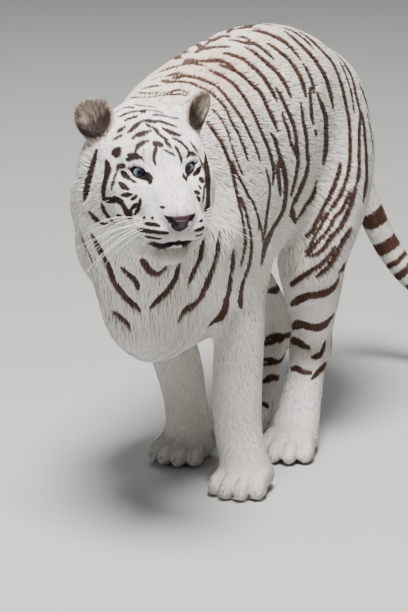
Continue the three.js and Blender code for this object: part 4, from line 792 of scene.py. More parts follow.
# marks behind the hips: side, points, half-width mm
REAR_MARKS = [
    (-1, [(-190, 560, 812), (-200, 590, 750), (-200, 590, 690), (-200, 565, 632)], 9),
    (-1, [(-160, 612, 792), (-180, 640, 735), (-180, 640, 672), (-190, 612, 612)], 10),
    (-1, [(-110, 650, 760), (-130, 672, 700), (-140, 660, 640)], 8),
    (1, [(110, 645, 770), (120, 668, 712), (120, 662, 652)], 8),
    (1, [(62, 690, 690), (70, 690, 640), (80, 672, 590)], 7),
    (-1, [(-60, 690, 682), (-72, 690, 632), (-84, 676, 584)], 7),
    (-1, [(-34, 468, 868), (-78, 470, 852), (-112, 474, 822)], 7),
    (-1, [(-28, 530, 842), (-76, 532, 820), (-118, 536, 778)], 8),
    (-1, [(-20, 586, 810), (-60, 592, 790), (-92, 600, 752)], 7),
    (1, [(38, 528, 842), (80, 534, 818), (112, 540, 782)], 7),
    (1, [(26, 588, 808), (62, 594, 786), (92, 602, 750)], 7),
    (-1, [(-190, -128, 776), (-205, -112, 716), (-205, -118, 650)], 6),
    (-1, [(-200, -60, 800), (-215, -44, 735), (-215, -52, 668), (-210, -70, 612)], 7),
    (-1, [(-200, -190, 700), (-205, -176, 652), (-200, -182, 606)], 5),
]
# rings on the legs: leg, height mm, half-width mm, from and to degrees round the leg (0 is ahead, 90 its left), rise mm
LEG_BANDS = [
    ("HR", 560, 7, 180, 320, 34), ("HR", 505, 8, 170, 330, 30), ("HR", 452, 8.5, 150, 340, 22), ("HR", 398, 8, 140, 345, 12), ("HR", 345, 7.5, 90, 330, 6),
    ("HR", 296, 7, 60, 330, -2), ("HR", 248, 5.5, 100, 320, -6), ("HR", 187, 4.7, -70, 130, 4), ("HR", 205, 4.5, 170, 290, -6), ("HR", 140, 2.8, -60, 110, 2), ("HR", 109, 2.6, -60, 100, -3), ("HR", 150, 2.6, 210, 300, 3),
    ("HL", 545, 7, 165, 225, -30), ("HL", 485, 8, 160, 215, -24), ("HL", 425, 8, 165, 215, -18), ("HL", 368, 7, 170, 290, -6), ("HL", 312, 7, 160, 300, 0), ("HL", 262, 5, 170, 290, 4), ("HL", 214, 4.5, 185, 285, 6),
    ("FR", 420, 4.5, 200, 300, 12), ("FR", 360, 4, 190, 285, 8), ("FR", 300, 3.2, 200, 280, 4), ("FR", 380, 3.5, 90, 160, 6), ("FR", 318, 3.2, 90, 165, 6),
    ("FL", 410, 4.2, 185, 262, 10), ("FL", 350, 3.6, 190, 268, 8), ("FL", 292, 3, 195, 262, 4),
]
LEGS = {"FL": FORE_L, "FR": FORE_R, "HL": HIND_L[:-1] + META_L[1:], "HR": HIND_R[:-1] + META_R[1:]}


def spline(P, gap=9.0):
    P = np.asarray(P, float)
    if len(P) < 2:
        return P
    if len(P) == 2:
        n = max(2, int(np.linalg.norm(P[1] - P[0]) / gap) + 1)
        return P[0] + (P[1] - P[0]) * np.linspace(0, 1, n)[:, None]
    Q = catmull(P, 6)
    L = np.concatenate([[0], np.cumsum(np.linalg.norm(np.diff(Q, axis=0), axis=1))])
    n = max(2, int(L[-1] / gap) + 1)
    s = np.linspace(0, L[-1], n)
    return np.stack([np.interp(s, L, Q[:, i]) for i in range(3)], 1)


def lay_on(form, P, times=5):
    for _ in range(times):
        g = form.grad(P, band=200)
        P = P - 0.9 * g * (form(P, 200) / np.maximum((g * g).sum(1), 0.2))[:, None]
    return P


class Bins:
    """Points sorted into cubes, to find those near a place."""

    def __init__(s, p, size):
        s.size = size
        s.lo = p.min(0)
        q = ((p - s.lo) / size).astype(np.int64)
        s.n = q.max(0) + 1
        key = (q[:, 0] * s.n[1] + q[:, 1]) * s.n[2] + q[:, 2]
        s.order = np.argsort(key, kind="stable")
        s.start = np.searchsorted(key[s.order], np.arange(s.n.prod() + 1))

    def __call__(s, lo, hi):
        a = np.floor((lo - s.lo) / s.size).astype(int)
        b = np.floor((hi - s.lo) / s.size).astype(int)
        if (b < 0).any() or (a >= s.n).any():
            return np.zeros(0, np.int64)
        a, b = np.maximum(a, 0), np.minimum(b, s.n - 1)
        out = []
        for i in range(a[0], b[0] + 1):
            for j in range(a[1], b[1] + 1):
                row = (i * s.n[1] + j) * s.n[2]
                out.append(s.order[s.start[row + a[2]] : s.start[row + b[2] + 1]])
        return np.concatenate(out)


class Marks:
    """All markings as curves on the coat; asks how dark the coat is at given places."""

    def __init__(s, form):
        nb = 33
        body, head = Form(), Form()
        body.ops, head.ops = form.ops[:nb], form.ops[nb:]
        s.lines = []
        rng = np.random.default_rng(21)
        raw = []
        for g, w, k, q in MARKS:
            P = spline(np.array(q, float).reshape(-1, 3))
            w = np.array(w, float)
            if k > 0.45:  # a fainter mark is a thinner one
                w, k = w * min(1.0, 0.25 + 0.8 * k), 1.0
            raw.append((g, w, k, P))
            if g == "b" and P[:, 2].min() > 395 and P[:, 1].mean() > (30 if P[:, 2].mean() > 800 else -190):
                mid = np.interp(P[:, 1], [r[0] for r in TRUNK], [r[1] for r in TRUNK])
                side = P[:, 0] - mid
                keep = np.nonzero(side > rng.uniform(7, 22))[0]
                if len(keep):
                    keep = max(np.split(keep, np.nonzero(np.diff(keep) > 1)[0] + 1), key=len)
                if len(keep) > 3:  # the same kind of mark, not the same mark, on the far side
                    side, P, mid = side[keep], P[keep], mid[keep]
                    M = P.copy()
                    M[:, 0] = mid - side
                    M[:, 1] += rng.uniform(-9, 9) + 14 * (noise(P, 130, 5) - 0.5)
                    M[:, 2] += 16 * (noise(P, 110, 6) - 0.5)
                    raw.append((g, w * rng.uniform(0.85, 1.15), max(k, 0.8), M))
        for s_, run, w in REAR_MARKS:
            raw.append(("b", np.array([w * 0.8, w, w * 0.7]), 1.0, spline(lay_on(body, np.array(run, float), 6), 8)))
        for leg, z, w, a0, a1, rise in LEG_BANDS:
            A = catmull(LEGS[leg], 6)
            o = np.argsort(A[:, 2])
            n = max(3, int(abs(a1 - a0) / 14))
            pts = []
            for i, a in enumerate(np.radians(np.linspace(a0, a1, n))):
                zz = z + rise * (i / (n - 1) - 0.5) * 2 + rng.uniform(-2.5, 2.5)
                c = np.array([np.interp(zz, A[o, 2], A[o, 0]), np.interp(zz, A[o, 2], A[o, 1]), zz])
                r = np.interp(zz, A[o, 2], A[o, 3]) + 12
                pts.append(c + r * np.array([math.sin(a), -math.cos(a), 0]))
            raw.append(("b", np.array([w * 0.9, w, w * 0.8]), 1.0, spline(lay_on(body, np.array(pts), 4), 8)))
        for f, where in ((body, "bt"), (head, "h"), (form, "c")):
            mine = [r for r in raw if r[0] in where]
            if not mine:
                continue
            P = lay_on(f, np.concatenate([r[3] for r in mine]), 4)
            i = 0
            for g, w, k, q in mine:
                R = P[i : i + len(q)]
                i += len(q)
                s.lines.append((g, w, k, R))
        s.runs = []
        for g, w, k, R in s.lines:
            if len(R) == 1:
                R = np.concatenate([R, R + 0.1])
            L = np.concatenate([[0], np.cumsum(np.linalg.norm(np.diff(R, axis=0), axis=1))])
            for i in range(0, len(R) - 1, 5):
                s.runs.append((w, k, R[i : i + 6], L[i : i + 6], L[-1], g != "b"))
        A = catmull(TAIL, 6)
        s.tail = A[:, :3]
        s.tail_len = np.concatenate([[0], np.cumsum(np.linalg.norm(np.diff(s.tail, axis=0), axis=1))])

    def along_tail(s, p):
        best, at = np.full(len(p), 1e9), np.zeros(len(p))
        for i in range(len(s.tail) - 1):
            a, d = s.tail[i], s.tail[i + 1] - s.tail[i]
            u = np.clip(((p - a) @ d) / (d @ d), 0, 1)
            r = np.linalg.norm(p - a - u[:, None] * d, axis=1)
            m = r < best
            best[m], at[m] = r[m], (s.tail_len[i] + u * math.sqrt(d @ d))[m]
        return at, best

    def edge(s, p):
        """At coat points p: mm inside the nearest marking's edge (outside is below 0), its strength."""
        far = -12.0
        out, k_at = np.full(len(p), far), np.zeros(len(p))
        rough = 0.97 + 0.26 * noise(p, 13, 3)
        wob = (noise(p, 5.0, 4) - 0.5) * 1.1
        near = Bins(p, 60.0)
        for w, k, R, L, total, head in s.runs:
            m = w.max() * 1.3 + 7
            lo, hi = R.min(0) - m, R.max(0) + m
            sel = near(lo, hi)
            sel = sel[((p[sel] > lo) & (p[sel] < hi)).all(1)]
            if not len(sel):
                continue
            q = p[sel]
            best, at = np.full(len(q), 1e9), np.zeros(len(q))
            for i in range(len(R) - 1):
                a, d = R[i], R[i + 1] - R[i]
                u = np.clip(((q - a) @ d) / max(d @ d, 1e-9), 0, 1)
                r = q - a - u[:, None] * d
                r = (r * r).sum(1)
                b = r < best
                best[b], at[b] = r[b], (L[i] + u * (L[i + 1] - L[i]))[b]
            ww = np.interp(at, np.array([0.15, 0.5, 0.85]) * total, w)
            if total > 3.2 * w.max():
                e = np.minimum(at, total - at)
                ww = ww * np.clip(0.45 + 0.55 * e / (2.2 * w.max()), 0, 1)
            v = ww * 1.06 * rough[sel] + (1.3 if head else 0.9) + wob[sel] - np.sqrt(best)
            up = v > out[sel]
            i = sel[up]
            out[i], k_at[i] = v[up], k
        t = np.nonzero((p[:, 1] > 690) & (p[:, 2] < 760))[0]
        if len(t):
            at, r = s.along_tail(p[t])
            v = np.full(len(t), far)
            wave = 7 * (noise(p[t], 26, 8) - 0.5)
            for c, w in TAIL_BANDS:
                v = np.maximum(v, w - np.abs(at + wave - c))
            v = np.where((r < 60) & (at > 40), v, far)
            up = v > out[t]
            out[t[up]], k_at[t[up]] = v[up], 1.0
        return out, k_at

    def __call__(s, p):
        """Darkness 0..1 at coat points p."""
        v, k = s.edge(p)
        return k * step(-0.9, 0.9, v)


WHITE = srgb(236, 234, 231)
CREAM = srgb(226, 218, 206)
TAN = srgb(216, 196, 172)
BROWN = srgb(76, 50, 40)
DARK = srgb(30, 19, 15)
GREY = srgb(150, 141, 131)


def blend(c, other, k):
    return c + (other - c) * np.clip(k, 0, 1)[:, None]


def ear_places(p):
    """For each ear: places in its own axes, and how much a point belongs to it."""
    out = []
    for s, o, up, lean in EARS:
        Me, e = ear_frame(s, o, up, lean)
        q = (p - e) @ Me.T
        w = step(1.30, 1.10, np.linalg.norm(q / (np.array(EAR_SIZE[s]) + [1, 14, 1]), axis=1))
        out.append((s, q, w))
    return out


def coat_colour(p, n, marks):
    """Colour (linear) of the coat at surface points p with outward directions n."""
    c, ink, d = coat_parts(p, n)
    d = np.maximum(marks(p) * (1 - d[:, 1]), d[:, 0])
    return c + (ink - c) * np.clip(d, 0, 1)[:, None], d


def coat_parts(p, n):
    """The coat's colour with painted shade on the chin, the colour of its markings with painted shade in the mouth, and
    how dark and how free of them a place is.
    """
    h = head_axes(p)
    l, f, u = h[:, 0], h[:, 1], h[:, 2]
    face = step(190, 140, np.linalg.norm(h - [0, -20, -30], axis=1))
    c = np.repeat(WHITE[None], len(p), 0)
    big, mid = noise(p, 90, 11), noise(p, 24, 12)
    mids = np.interp(p[:, 1], [r[0] for r in TRUNK], [r[1] for r in TRUNK])
    back = step(0.25, 0.95, n[:, 2]) * step(640, 760, p[:, 2]) * step(620, 420, p[:, 1])
    c = blend(c, CREAM, 0.35 + 0.35 * big * (1 - face))
    c = blend(c, TAN, back * (0.28 + 0.42 * step(170, 40, np.abs(p[:, 1] + 10)) + 0.2 * mid) * (1 - face))
    under = step(-0.1, -0.7, n[:, 2])
    c = blend(c, WHITE, under * 0.8)
    crown = step(40, 0, np.abs(l)) * step(-60, -105, f) * step(20, 55, u)
    c = blend(c, TAN, 0.45 * crown)
    muzzle_white = step(20, 70, f) * (1 - step(0, 1, np.maximum(0, u + 40)))
    c = blend(c, srgb(244, 241, 236), 0.8 * face * np.clip(muzzle_white + step(-70, 0, f) * 0.4, 0, 1))
    strands = noise(h * [1.0, 0.3, 0.3], 3.4, 23)
    bridge = step(32, 8, np.abs(l)) * step(0, 40, f) * step(-64, -44, u)
    c = blend(c, srgb(206, 186, 172), bridge * np.clip(0.12 + 0.9 * (strands - 0.35), 0, 0.6))
    c = c * (1 - 0.16 * face * np.clip(strands - 0.45, 0, 0.4) / 0.4)[:, None]
    # painted shade: the chin below the mouth is greyed as if in shade under the muzzle, broken up by the fur's strands
    chin = step(-122, -136, u) * step(-10, 30, f) * step(74, 48, np.abs(l)) * face
    c = blend(c, srgb(186, 178, 166), chin * (0.35 + 0.5 * strands))
    # tan at the elbow, in the flank fold and between the toes
    for q, r, k in (((141, 20, 415), 34, 0.75), ((118, 330, 585), 36, 0.85), ((-180, 60, 420), 34, 0.7), ((-112, 400, 585), 36, 0.8)):
        c = blend(c, TAN * 0.72, k * np.exp(-(np.linalg.norm((p - q) / [1, 1, 1.3], axis=1) / r) ** 2))
    toes = step(46, 20, p[:, 2]) * step(0.35, 0.0, np.abs(n[:, 2]))
    c = blend(c, TAN * 0.9, 0.10 * toes * mid)
    c = c * (0.965 + 0.06 * noise(p, 9, 13) + 0.03 * (big - 0.5))[:, None]
    d = np.zeros(len(p))
    free = np.zeros(len(p))
    ink = BROWN + (DARK - BROWN) * np.maximum(0.8 * face, 0.35 * step(380, 700, p[:, 2]) * (1 - back))[:, None]
    ink = ink * (0.8 + 0.45 * noise(p, 16, 14))[:, None]
    # eye rims, inner corners and lips
    for s in SIDES:
        x, y, z, k = eye_frame(p, s)
        on = y > -4
        rim = step(1.30, 1.12, k + 0.1 * step(0, -8, z)) * on
        corner = step(1.15, 0.8, np.hypot((x + 15) / 4.0, (z + 2.6) / 2.8)) * on
        outer = np.exp(-(((x - 17) / 6.0) ** 2) - ((z - 1.0) / 2.6) ** 2) * (y > -14)
        halo = step(2.4, 1.5, k) * on * (z < 4)
        c = blend(c, srgb(248, 245, 240), 0.7 * halo)
        d = np.maximum(d, np.maximum(rim, np.maximum(corner, outer)))
        ink = blend(ink, srgb(24, 17, 16), np.maximum(rim, 0.5 * corner))
    al = np.abs(l)
    off = u - lip_line(l, f)
    # black lips, and below the lip line a wider dark band that is painted shade in the mouth, widest partway along each
    # side and under the nose groove
    deep = 4.2 + 6.4 * step(4, 20, al) * step(66, 46, al) + 3.6 * np.exp(-((al / 7.0) ** 2)) + 0.5 * (noise(p, 6, 19) - 0.5)
    lip_and_mouth_shade = step(deep + 1.5, deep - 1.0, np.abs(off + 0.55 * deep - 1.6)) * step(-6, 20, f) * step(60, 44, al)
    d = np.maximum(d, lip_and_mouth_shade)
    ink = blend(ink, srgb(24, 17, 17), lip_and_mouth_shade)
    for s, q, w in ear_places(p):
        size = np.array(EAR_SIZE[s], float)
        inner = w * step(-4.0, 3.0, q[:, 1] + 2) * step(1.10, 1.0, np.linalg.norm(q[:, [0, 2]] / size[[0, 2]], axis=1))
        rear = w * step(-2, -12, q[:, 1])
        rough = noise(q, 9, 18) - 0.5
        base = step(14, -14, q[:, 2] + 0.25 * s * q[:, 0] + 16 * rough)
        streak = noise(q * [1, 0.3, 0.3], 3.2, 17)
        tone = blend(np.repeat(srgb(84, 70, 61)[None], len(p), 0), srgb(140, 128, 116), np.clip(2.2 * streak - 0.6, 0, 1) * step(-16, 8, q[:, 2] + 20 * rough))
        tone = blend(tone, srgb(150, 138, 126), 0.5 * step(14, 26, q[:, 2]))
        tone = blend(tone, srgb(38, 26, 22), 0.94 * base)
        c = blend(c, tone, inner)
        spot = np.linalg.norm((q[:, [0, 2]] - [0, 2]) / [17, 14], axis=1)
        back_tone = blend(np.repeat(srgb(48, 36, 31)[None], len(p), 0), srgb(230, 224, 214), step(1.25, 0.85, spot))
        c = blend(c, back_tone, rear * step(-44, -28, q[:, 2]))
        rimc = w * step(0.84, 0.98, np.linalg.norm(q[:, [0, 2]] / size[[0, 2]], axis=1)) * step(-12, 0, q[:, 1])
        c = blend(c, srgb(178, 164, 148), 0.65 * rimc)
        free = np.maximum(free, np.clip(inner + rear, 0, 1))
    return c, ink, np.stack([d * (1 - free), free], 1)


def lip_line(l, f):
    al = np.abs(l)
    return -118 + 4.0 * np.cos(al / 11.0) * np.exp(-al / 40.0) - 0.10 * np.maximum(0, 62 - f) + 6 * step(30, 60, al)


# ------------------------------------------------------------------ Blender helpers
def mesh_object(name, V, T, tint=None, uv=None, smooth=True, normal=None):
    """A mesh of triangles from points in the working axes, with colours and a bake map."""
    me = bpy.data.meshes.new(name)
    V = to_frame(V).astype(np.float32)
    me.vertices.add(len(V))
    me.vertices.foreach_set("co", V.ravel())
    me.loops.add(len(T) * 3)
    me.loops.foreach_set("vertex_index", T.astype(np.int32).ravel())
    me.polygons.add(len(T))
    me.polygons.foreach_set("loop_start", np.arange(0, len(T) * 3, 3, dtype=np.int32))
    me.polygons.foreach_set("use_smooth", np.full(len(T), smooth))
    if tint is not None:
        a = me.color_attributes.new("tint", "FLOAT_COLOR", "POINT")
        c = np.ones((len(V), 4), np.float32)
        c[:, : tint.shape[1]] = tint
        a.data.foreach_set("color", c.ravel())
    if uv is not None:
        layer = me.uv_layers.new(name="OFBake")
        layer.data.foreach_set("uv", uv.astype(np.float32).ravel())
    me.update(calc_edges=True)
    me.validate()
    if normal is not None:
        me.normals_split_custom_set_from_vertices(normal.astype(np.float32))
    ob = bpy.data.objects.new(name, me)
    bpy.context.scene.collection.objects.link(ob)
    return ob


def material(name, rough=0.6, **sockets):
    m = bpy.data.materials.new(name)
    m.use_nodes = True
    nt = m.node_tree
    b = nt.nodes["Principled BSDF"]
    b.inputs["Roughness"].default_value = rough
    for k, v in sockets.items():
        b.inputs[k.replace("_", " ")].default_value = v
    return m, nt, b


def node(nt, kind, **kw):
    n = nt.nodes.new(kind)
    for k, v in kw.items():
        setattr(n, k, v)
    return n


# ------------------------------------------------------------------ light, floor and camera
def studio():
    AIM = np.array([-89.506, 219.226, 310.975])
    BACK = np.array([0.33037, -0.90767, 0.25882])
    from mathutils import Matrix

    cam = bpy.data.objects.new("camera", bpy.data.cameras.new("camera"))
    bpy.context.scene.collection.objects.link(cam)
    a = math.radians(20)
    right = np.array([math.cos(a), math.sin(a), 0])
    b = BACK / np.linalg.norm(BACK)
    up = np.cross(b, right)
    pos = to_frame(AIM + 8000 * b)
    M = np.eye(4)
    M[:3, 0], M[:3, 1], M[:3, 2], M[:3, 3] = right, up, b, pos
    cam.matrix_world = Matrix(M.tolist())
    cam.data.sensor_fit = "VERTICAL"
    cam.data.sensor_height = 36
    cam.data.lens = 36 * 8000 / 1316
    cam.data.clip_end = 60
    bpy.context.scene.camera = cam

    def area(name, loc, target, size, power, colour):
        L = bpy.data.lights.new(name, "AREA")
        L.shape = "DISK"
        L.size = size
        L.energy = power
        L.color = colour
        o = bpy.data.objects.new(name, L)
        bpy.context.scene.collection.objects.link(o)
        loc, target = np.array(loc, float), np.array(target, float)
        z = unit(loc - target)
        x = unit(np.cross([0, 0, 1.0], z))
        y = np.cross(z, x)
        M = np.eye(4)
        M[:3, 0], M[:3, 1], M[:3, 2], M[:3, 3] = x, y, z, loc
        o.matrix_world = Matrix(M.tolist())

    area("key", (0.5, -1.7, 5.2), (0, -0.1, 0.55), 2.0, 830, (1.0, 0.985, 0.96))
    area("fill", (-2.6, -4.2, 2.4), (0, -0.2, 0.5), 3.2, 20, (0.94, 0.97, 1.0))
    area("rim", (-1.6, 3.4, 3.4), (0, 0, 0.6), 2.4, 60, (0.96, 0.98, 1.0))
    w = bpy.data.worlds.new("studio")
    bpy.context.scene.world = w
    w.use_nodes = True
    bg = w.node_tree.nodes["Background"]
    bg.inputs["Color"].default_value = (0.80, 0.83, 0.86, 1)
    bg.inputs["Strength"].default_value = 0.17
    bpy.ops.mesh.primitive_plane_add(size=30, location=(0, 0, -0.0004))
    fl = bpy.context.object
    fl.name = "floor"
    m, nt, b = material("floor", 0.85)
    b.inputs["Base Color"].default_value = (0.43, 0.43, 0.42, 1)
    fl.data.materials.append(m)


# ------------------------------------------------------------------ the coat
class Body:
    """Which part of the animal a place belongs to, how its coat lies there and its bake map."""

    PARTS = ("trunk", "FL", "FR", "HL", "HR", "tail", "head", "earL", "earR")

    def __init__(s, form):
        o = form.ops
        pick = {
            "trunk": [0, 1, 2, 3], "FL": [4, 6, 12, 13, 14, 15, 16], "FR": [5, 7, 17, 18, 19, 20, 21],
            "HL": [8, 10, 22, 23, 24, 25, 26], "HR": [9, 11, 27, 28, 29, 30, 31], "tail": [32],
            "head": list(range(33, len(o) - 6)), "earL": [len(o) - 6], "earR": [len(o) - 3],
        }
        s.forms = {}
        for k, v in pick.items():
            f = Form()
            f.ops = [o[i] for i in v]
            s.forms[k] = f

    def near(s, p):
        d = np.stack([s.forms[k](p, 60.0) for k in s.PARTS], 1)
        d[:, 7:] -= 4.0
        return d

    def lie(s, p, n, d, marks):
        """Direction of the hair, along the skin."""
        w = np.exp(-np.clip(d - d.min(1, keepdims=True), 0, 200) / 16.0)
        x, y, z = p.T
        L = {}
        one, nil = np.ones(len(p)), np.zeros(len(p))
        chest = step(-70, -210, y) * step(740, 600, z)
        L["trunk"] = np.stack([nil, 1 - 0.9 * chest, -0.34 - 0.7 * chest], 1)
        for k in ("FL", "FR"):
            L[k] = np.stack([nil, 0.14 + 0.4 * step(380, 520, z), -one], 1)
        for k in ("HL", "HR"):
            low = step(245, 195, z)
            L[k] = np.stack([nil, 0.3 + 0.75 * step(330, 520, z) - 0.95 * low, -one * (1 - 0.15 * low)], 1)
        at = np.zeros_like(p)
        sel = w[:, 5] > 0.02
        if sel.any():
            q, best = p[sel], np.full(sel.sum(), 1e9)
            g = np.zeros((sel.sum(), 3))
            for i in range(len(marks.tail) - 1):
                a, dd = marks.tail[i], marks.tail[i + 1] - marks.tail[i]
                r = np.linalg.norm(q - a - np.clip(((q - a) @ dd) / (dd @ dd), 0, 1)[:, None] * dd, axis=1)
                b = r < best
                best[b], g[b] = r[b], dd / np.linalg.norm(dd)
            at[sel] = g
        L["tail"] = at
        h = head_axes(p)
        v = unit(h - [0, 106, -58])
        al = np.abs(h[:, 0])
        v[:, 2] -= 0.45 * step(-10, -60, h[:, 2]) * step(60, 0, h[:, 1])
        v[:, 2] -= 0.5 * step(-112, -140, h[:, 2])
        v[:, 0] += 0.35 * np.sign(h[:, 0]) * step(20, 70, al) * step(-20, -90, h[:, 1])
        L["head"] = unit(v) @ HEADM
        for k, (sd, o, up, lean) in zip(("earL", "earR"), EARS):
            Me, e = ear_frame(sd, o, up, lean)
            q = (p - e) @ Me.T
            L[k] = np.stack([q[:, 0] / 42.0, nil + 0.1, 0.75 + 0 * z], 1) @ Me
        t = sum(unit(L[k]) * w[:, [i]] for i, k in enumerate(s.PARTS))
        for c, M, wd in paw_frames():
            q = (p - c) @ M.T
            k = step(78, 40, z) * (np.abs(q[:, 0]) < 80) * (np.abs(q[:, 1]) < 100)
            t = t * (1 - k[:, None]) + k[:, None] * unit(M[1] * 1.0 + np.array([0, 0, -0.45]))
        t = t - n * (t * n).sum(1)[:, None]
        return unit(t + 1e-6)

    def style(s, p, n, d):
        """Length, width and rise of the hair, mm."""
        x, y, z = p.T
        h = head_axes(p)
        l, f, u = np.abs(h[:, 0]), h[:, 1], h[:, 2]
        L = np.full(len(p), 25.0)
        W = np.full(len(p), 2.1)
        legs = step(440, 300, z)
        L += (13 - L) * legs
        W += (1.6 - W) * legs
        paw = step(95, 55, z)
        L += (9 - L) * paw
        W += (1.3 - W) * paw
        belly = step(0.1, -0.6, n[:, 2]) * step(80, 160, y) * step(640, 560, y) * step(350, 420, z)
        L += 20 * belly
        chest = step(-60, -150, y) * step(700, 600, z) * step(0.5, 0.0, n[:, 2])
        L += 12 * chest
        rear = step(520, 600, y) * step(280, 380, z) * step(720, 640, z)
        L += 8 * rear * step(0.2, 0.7, n[:, 1])
        tail = step(0, -6, d[:, 5]) * (y > 700)
        L += (20 - L) * step(690, 740, y) * step(760, 700, z)
        hw = step(14, -4, np.minimum(d[:, 6], np.minimum(d[:, 7], d[:, 8])) - np.minimum(d[:, 0], 60))
        HL = np.interp(f, [-150, -80, -20, 40, 80, 110], [17, 13, 8.5, 6.2, 4.6, 3.6])
        HW = np.interp(f, [-150, -80, -20, 40, 80, 110], [2.3, 1.9, 1.35, 1.05, 0.85, 0.75])
        ruff = step(58, 86, l) * step(-10, -70, f) * step(30, -20, u) + 0.7 * step(-95, -135, u) * step(40, -30, f)
        HL = HL + 17 * np.clip(ruff, 0, 1)
        HW = HW + 0.9 * np.clip(ruff, 0, 1)
        chin = step(-128, -146, u) * step(-30, 20, f)
        HL = HL + 7 * chin
        ear = np.minimum(d[:, 7], d[:, 8]) < 1.0
        HL = np.where(ear, 8.5, HL)
        HW = np.where(ear, 1.3, HW)
        for i, (sd, q, w) in enumerate(ear_places(p)):
            inside = w * step(0, 6, q[:, 1] + 4) * step(1.0, 0.85, np.linalg.norm(q[:, [0, 2]] / (np.array(EAR_SIZE[sd])[[0, 2]] - 2), axis=1))
            HL = HL + 6 * inside * step(-30, -10, q[:, 2]) * step(32, 20, q[:, 2])
        L = L * (1 - hw) + HL * hw
        W = W * (1 - hw) + HW * hw
        rise = np.minimum(0.30 * L, coat_depth(p) * 0.9)
        rise = rise + 2.5 * belly + 1.5 * chest + 2.0 * hw * np.clip(ruff, 0, 1)
        return L, W, rise

    def chart(s, p, d, marks):
        """Each part unrolled about its own axis, side by side on one sheet."""
        part = d.argmin(1)
        uv = np.zeros((len(p), 2))

        def put(m, a, b, box):
            u0, v0, u1, v1 = box
            uv[m] = np.stack([u0 + (u1 - u0) * np.clip(a, 0, 1), v0 + (v1 - v0) * np.clip(b, 0, 1)], 1)

        m = part == 0
        q = p[m]
        ys = [r[0] for r in TRUNK]
        cx = np.interp(q[:, 1], ys, [r[1] for r in TRUNK])
        cz = np.interp(q[:, 1], ys, [(r[2] + r[3]) / 2 for r in TRUNK])
        ang = np.arctan2(q[:, 0] - cx, cz - q[:, 2]) / (2 * np.pi) + 0.5
        put(m, ang, (q[:, 1] + 380) / 1110, (0.01, 0.01, 0.61, 0.60))
        for i, (k, rows) in enumerate((("FL", FORE_L), ("FR", FORE_R), ("HL", LEGS["HL"]), ("HR", LEGS["HR"]))):
            m = part == 1 + i
            q = p[m]
            A = catmull(rows, 4)
            o = np.argsort(A[:, 2])
            ax, ay = np.interp(q[:, 2], A[o, 2], A[o, 0]), np.interp(q[:, 2], A[o, 2], A[o, 1])
            ang = np.arctan2(q[:, 0] - ax, -(q[:, 1] - ay)) / (2 * np.pi) + 0.5
            put(m, ang, q[:, 2] / 720, (0.01 + 0.2475 * i, 0.62, 0.245 + 0.2475 * i, 0.99))
        m = part == 5
        if m.any():
            q = p[m]
            at, _ = marks.along_tail(q)
            c = np.stack([np.interp(at, marks.tail_len, marks.tail[:, k]) for k in range(3)], 1)
            g = np.stack([np.interp(at, marks.tail_len, np.gradient(marks.tail[:, k])) for k in range(3)], 1)
            a = unit(np.cross(g, [0, 0, 1.0]) + 1e-6)
            b = np.cross(a, unit(g))
            r = q - c
            ang = np.arctan2((r * a).sum(1), (r * b).sum(1)) / (2 * np.pi) + 0.5
            put(m, at / 775, ang, (0.63, 0.45, 0.99, 0.60))
        m = part == 6
        h = unit(head_axes(p[m]) - [0, -50, -40])
        ang = np.arctan2(h[:, 0], -h[:, 2]) / (2 * np.pi) + 0.5
        put(m, ang, np.arccos(np.clip(h[:, 1], -1, 1)) / np.pi, (0.63, 0.01, 0.99, 0.31))
        for i, (sd, o, up, lean) in enumerate(EARS):
            m = part == 7 + i
            Me, e = ear_frame(sd, o, up, lean)
            q = (p[m] - e) @ Me.T
            a = (q[:, 0] + 44) / 88 * 0.48 + np.where(q[:, 1] > -2, 0, 0.52)
            put(m, a, (q[:, 2] + 50) / 100, (0.63 + 0.19 * i, 0.33, 0.80 + 0.19 * i, 0.43))
        return uv


def read_grid(G, p):
    D, lo, h = G
    q = (p - lo) / h
    i = np.clip(np.floor(q).astype(np.int64), 0, np.array(D.shape) - 2)
    f = q - i
    out = 0
    for a in (0, 1):
        for b in (0, 1):
            for c in (0, 1):
                w = (f[:, 0] if a else 1 - f[:, 0]) * (f[:, 1] if b else 1 - f[:, 1]) * (f[:, 2] if c else 1 - f[:, 2])
                out = out + w * D[i[:, 0] + a, i[:, 1] + b, i[:, 2] + c]
    return out


def bare(p, n):
    """Places that grow no hair."""
    h = head_axes(p)
    l, f, u = np.abs(h[:, 0]), h[:, 1], h[:, 2]
    m = nose_pad(h) > -0.6
    for s in SIDES:
        x, y, z, k = eye_frame(p, s)
        m |= (k < 1.1) & (y > -2)
    m |= (np.abs(u - lip_line(h[:, 0], f)) < 1.8) & (f > -5) & (l < 70)
    m |= (p[:, 2] < 3.5) & (n[:, 2] < -0.55)
    return m


def nose_pad(h):
    """Above 0 inside the nose pad's outline, in mm."""
    al = np.abs(h[:, 0])
    top = -52.3 - 1.2 * (al / 30) ** 2
    return np.minimum(np.minimum(np.minimum(top - h[:, 2], (h[:, 2] - pad_foot(al)) * 0.75), 32.0 - al), h[:, 1] - 92)


def pad_foot(al):
    return -90.5 + 35.5 * np.clip(al / 32, 0, 1.1) ** 1.9


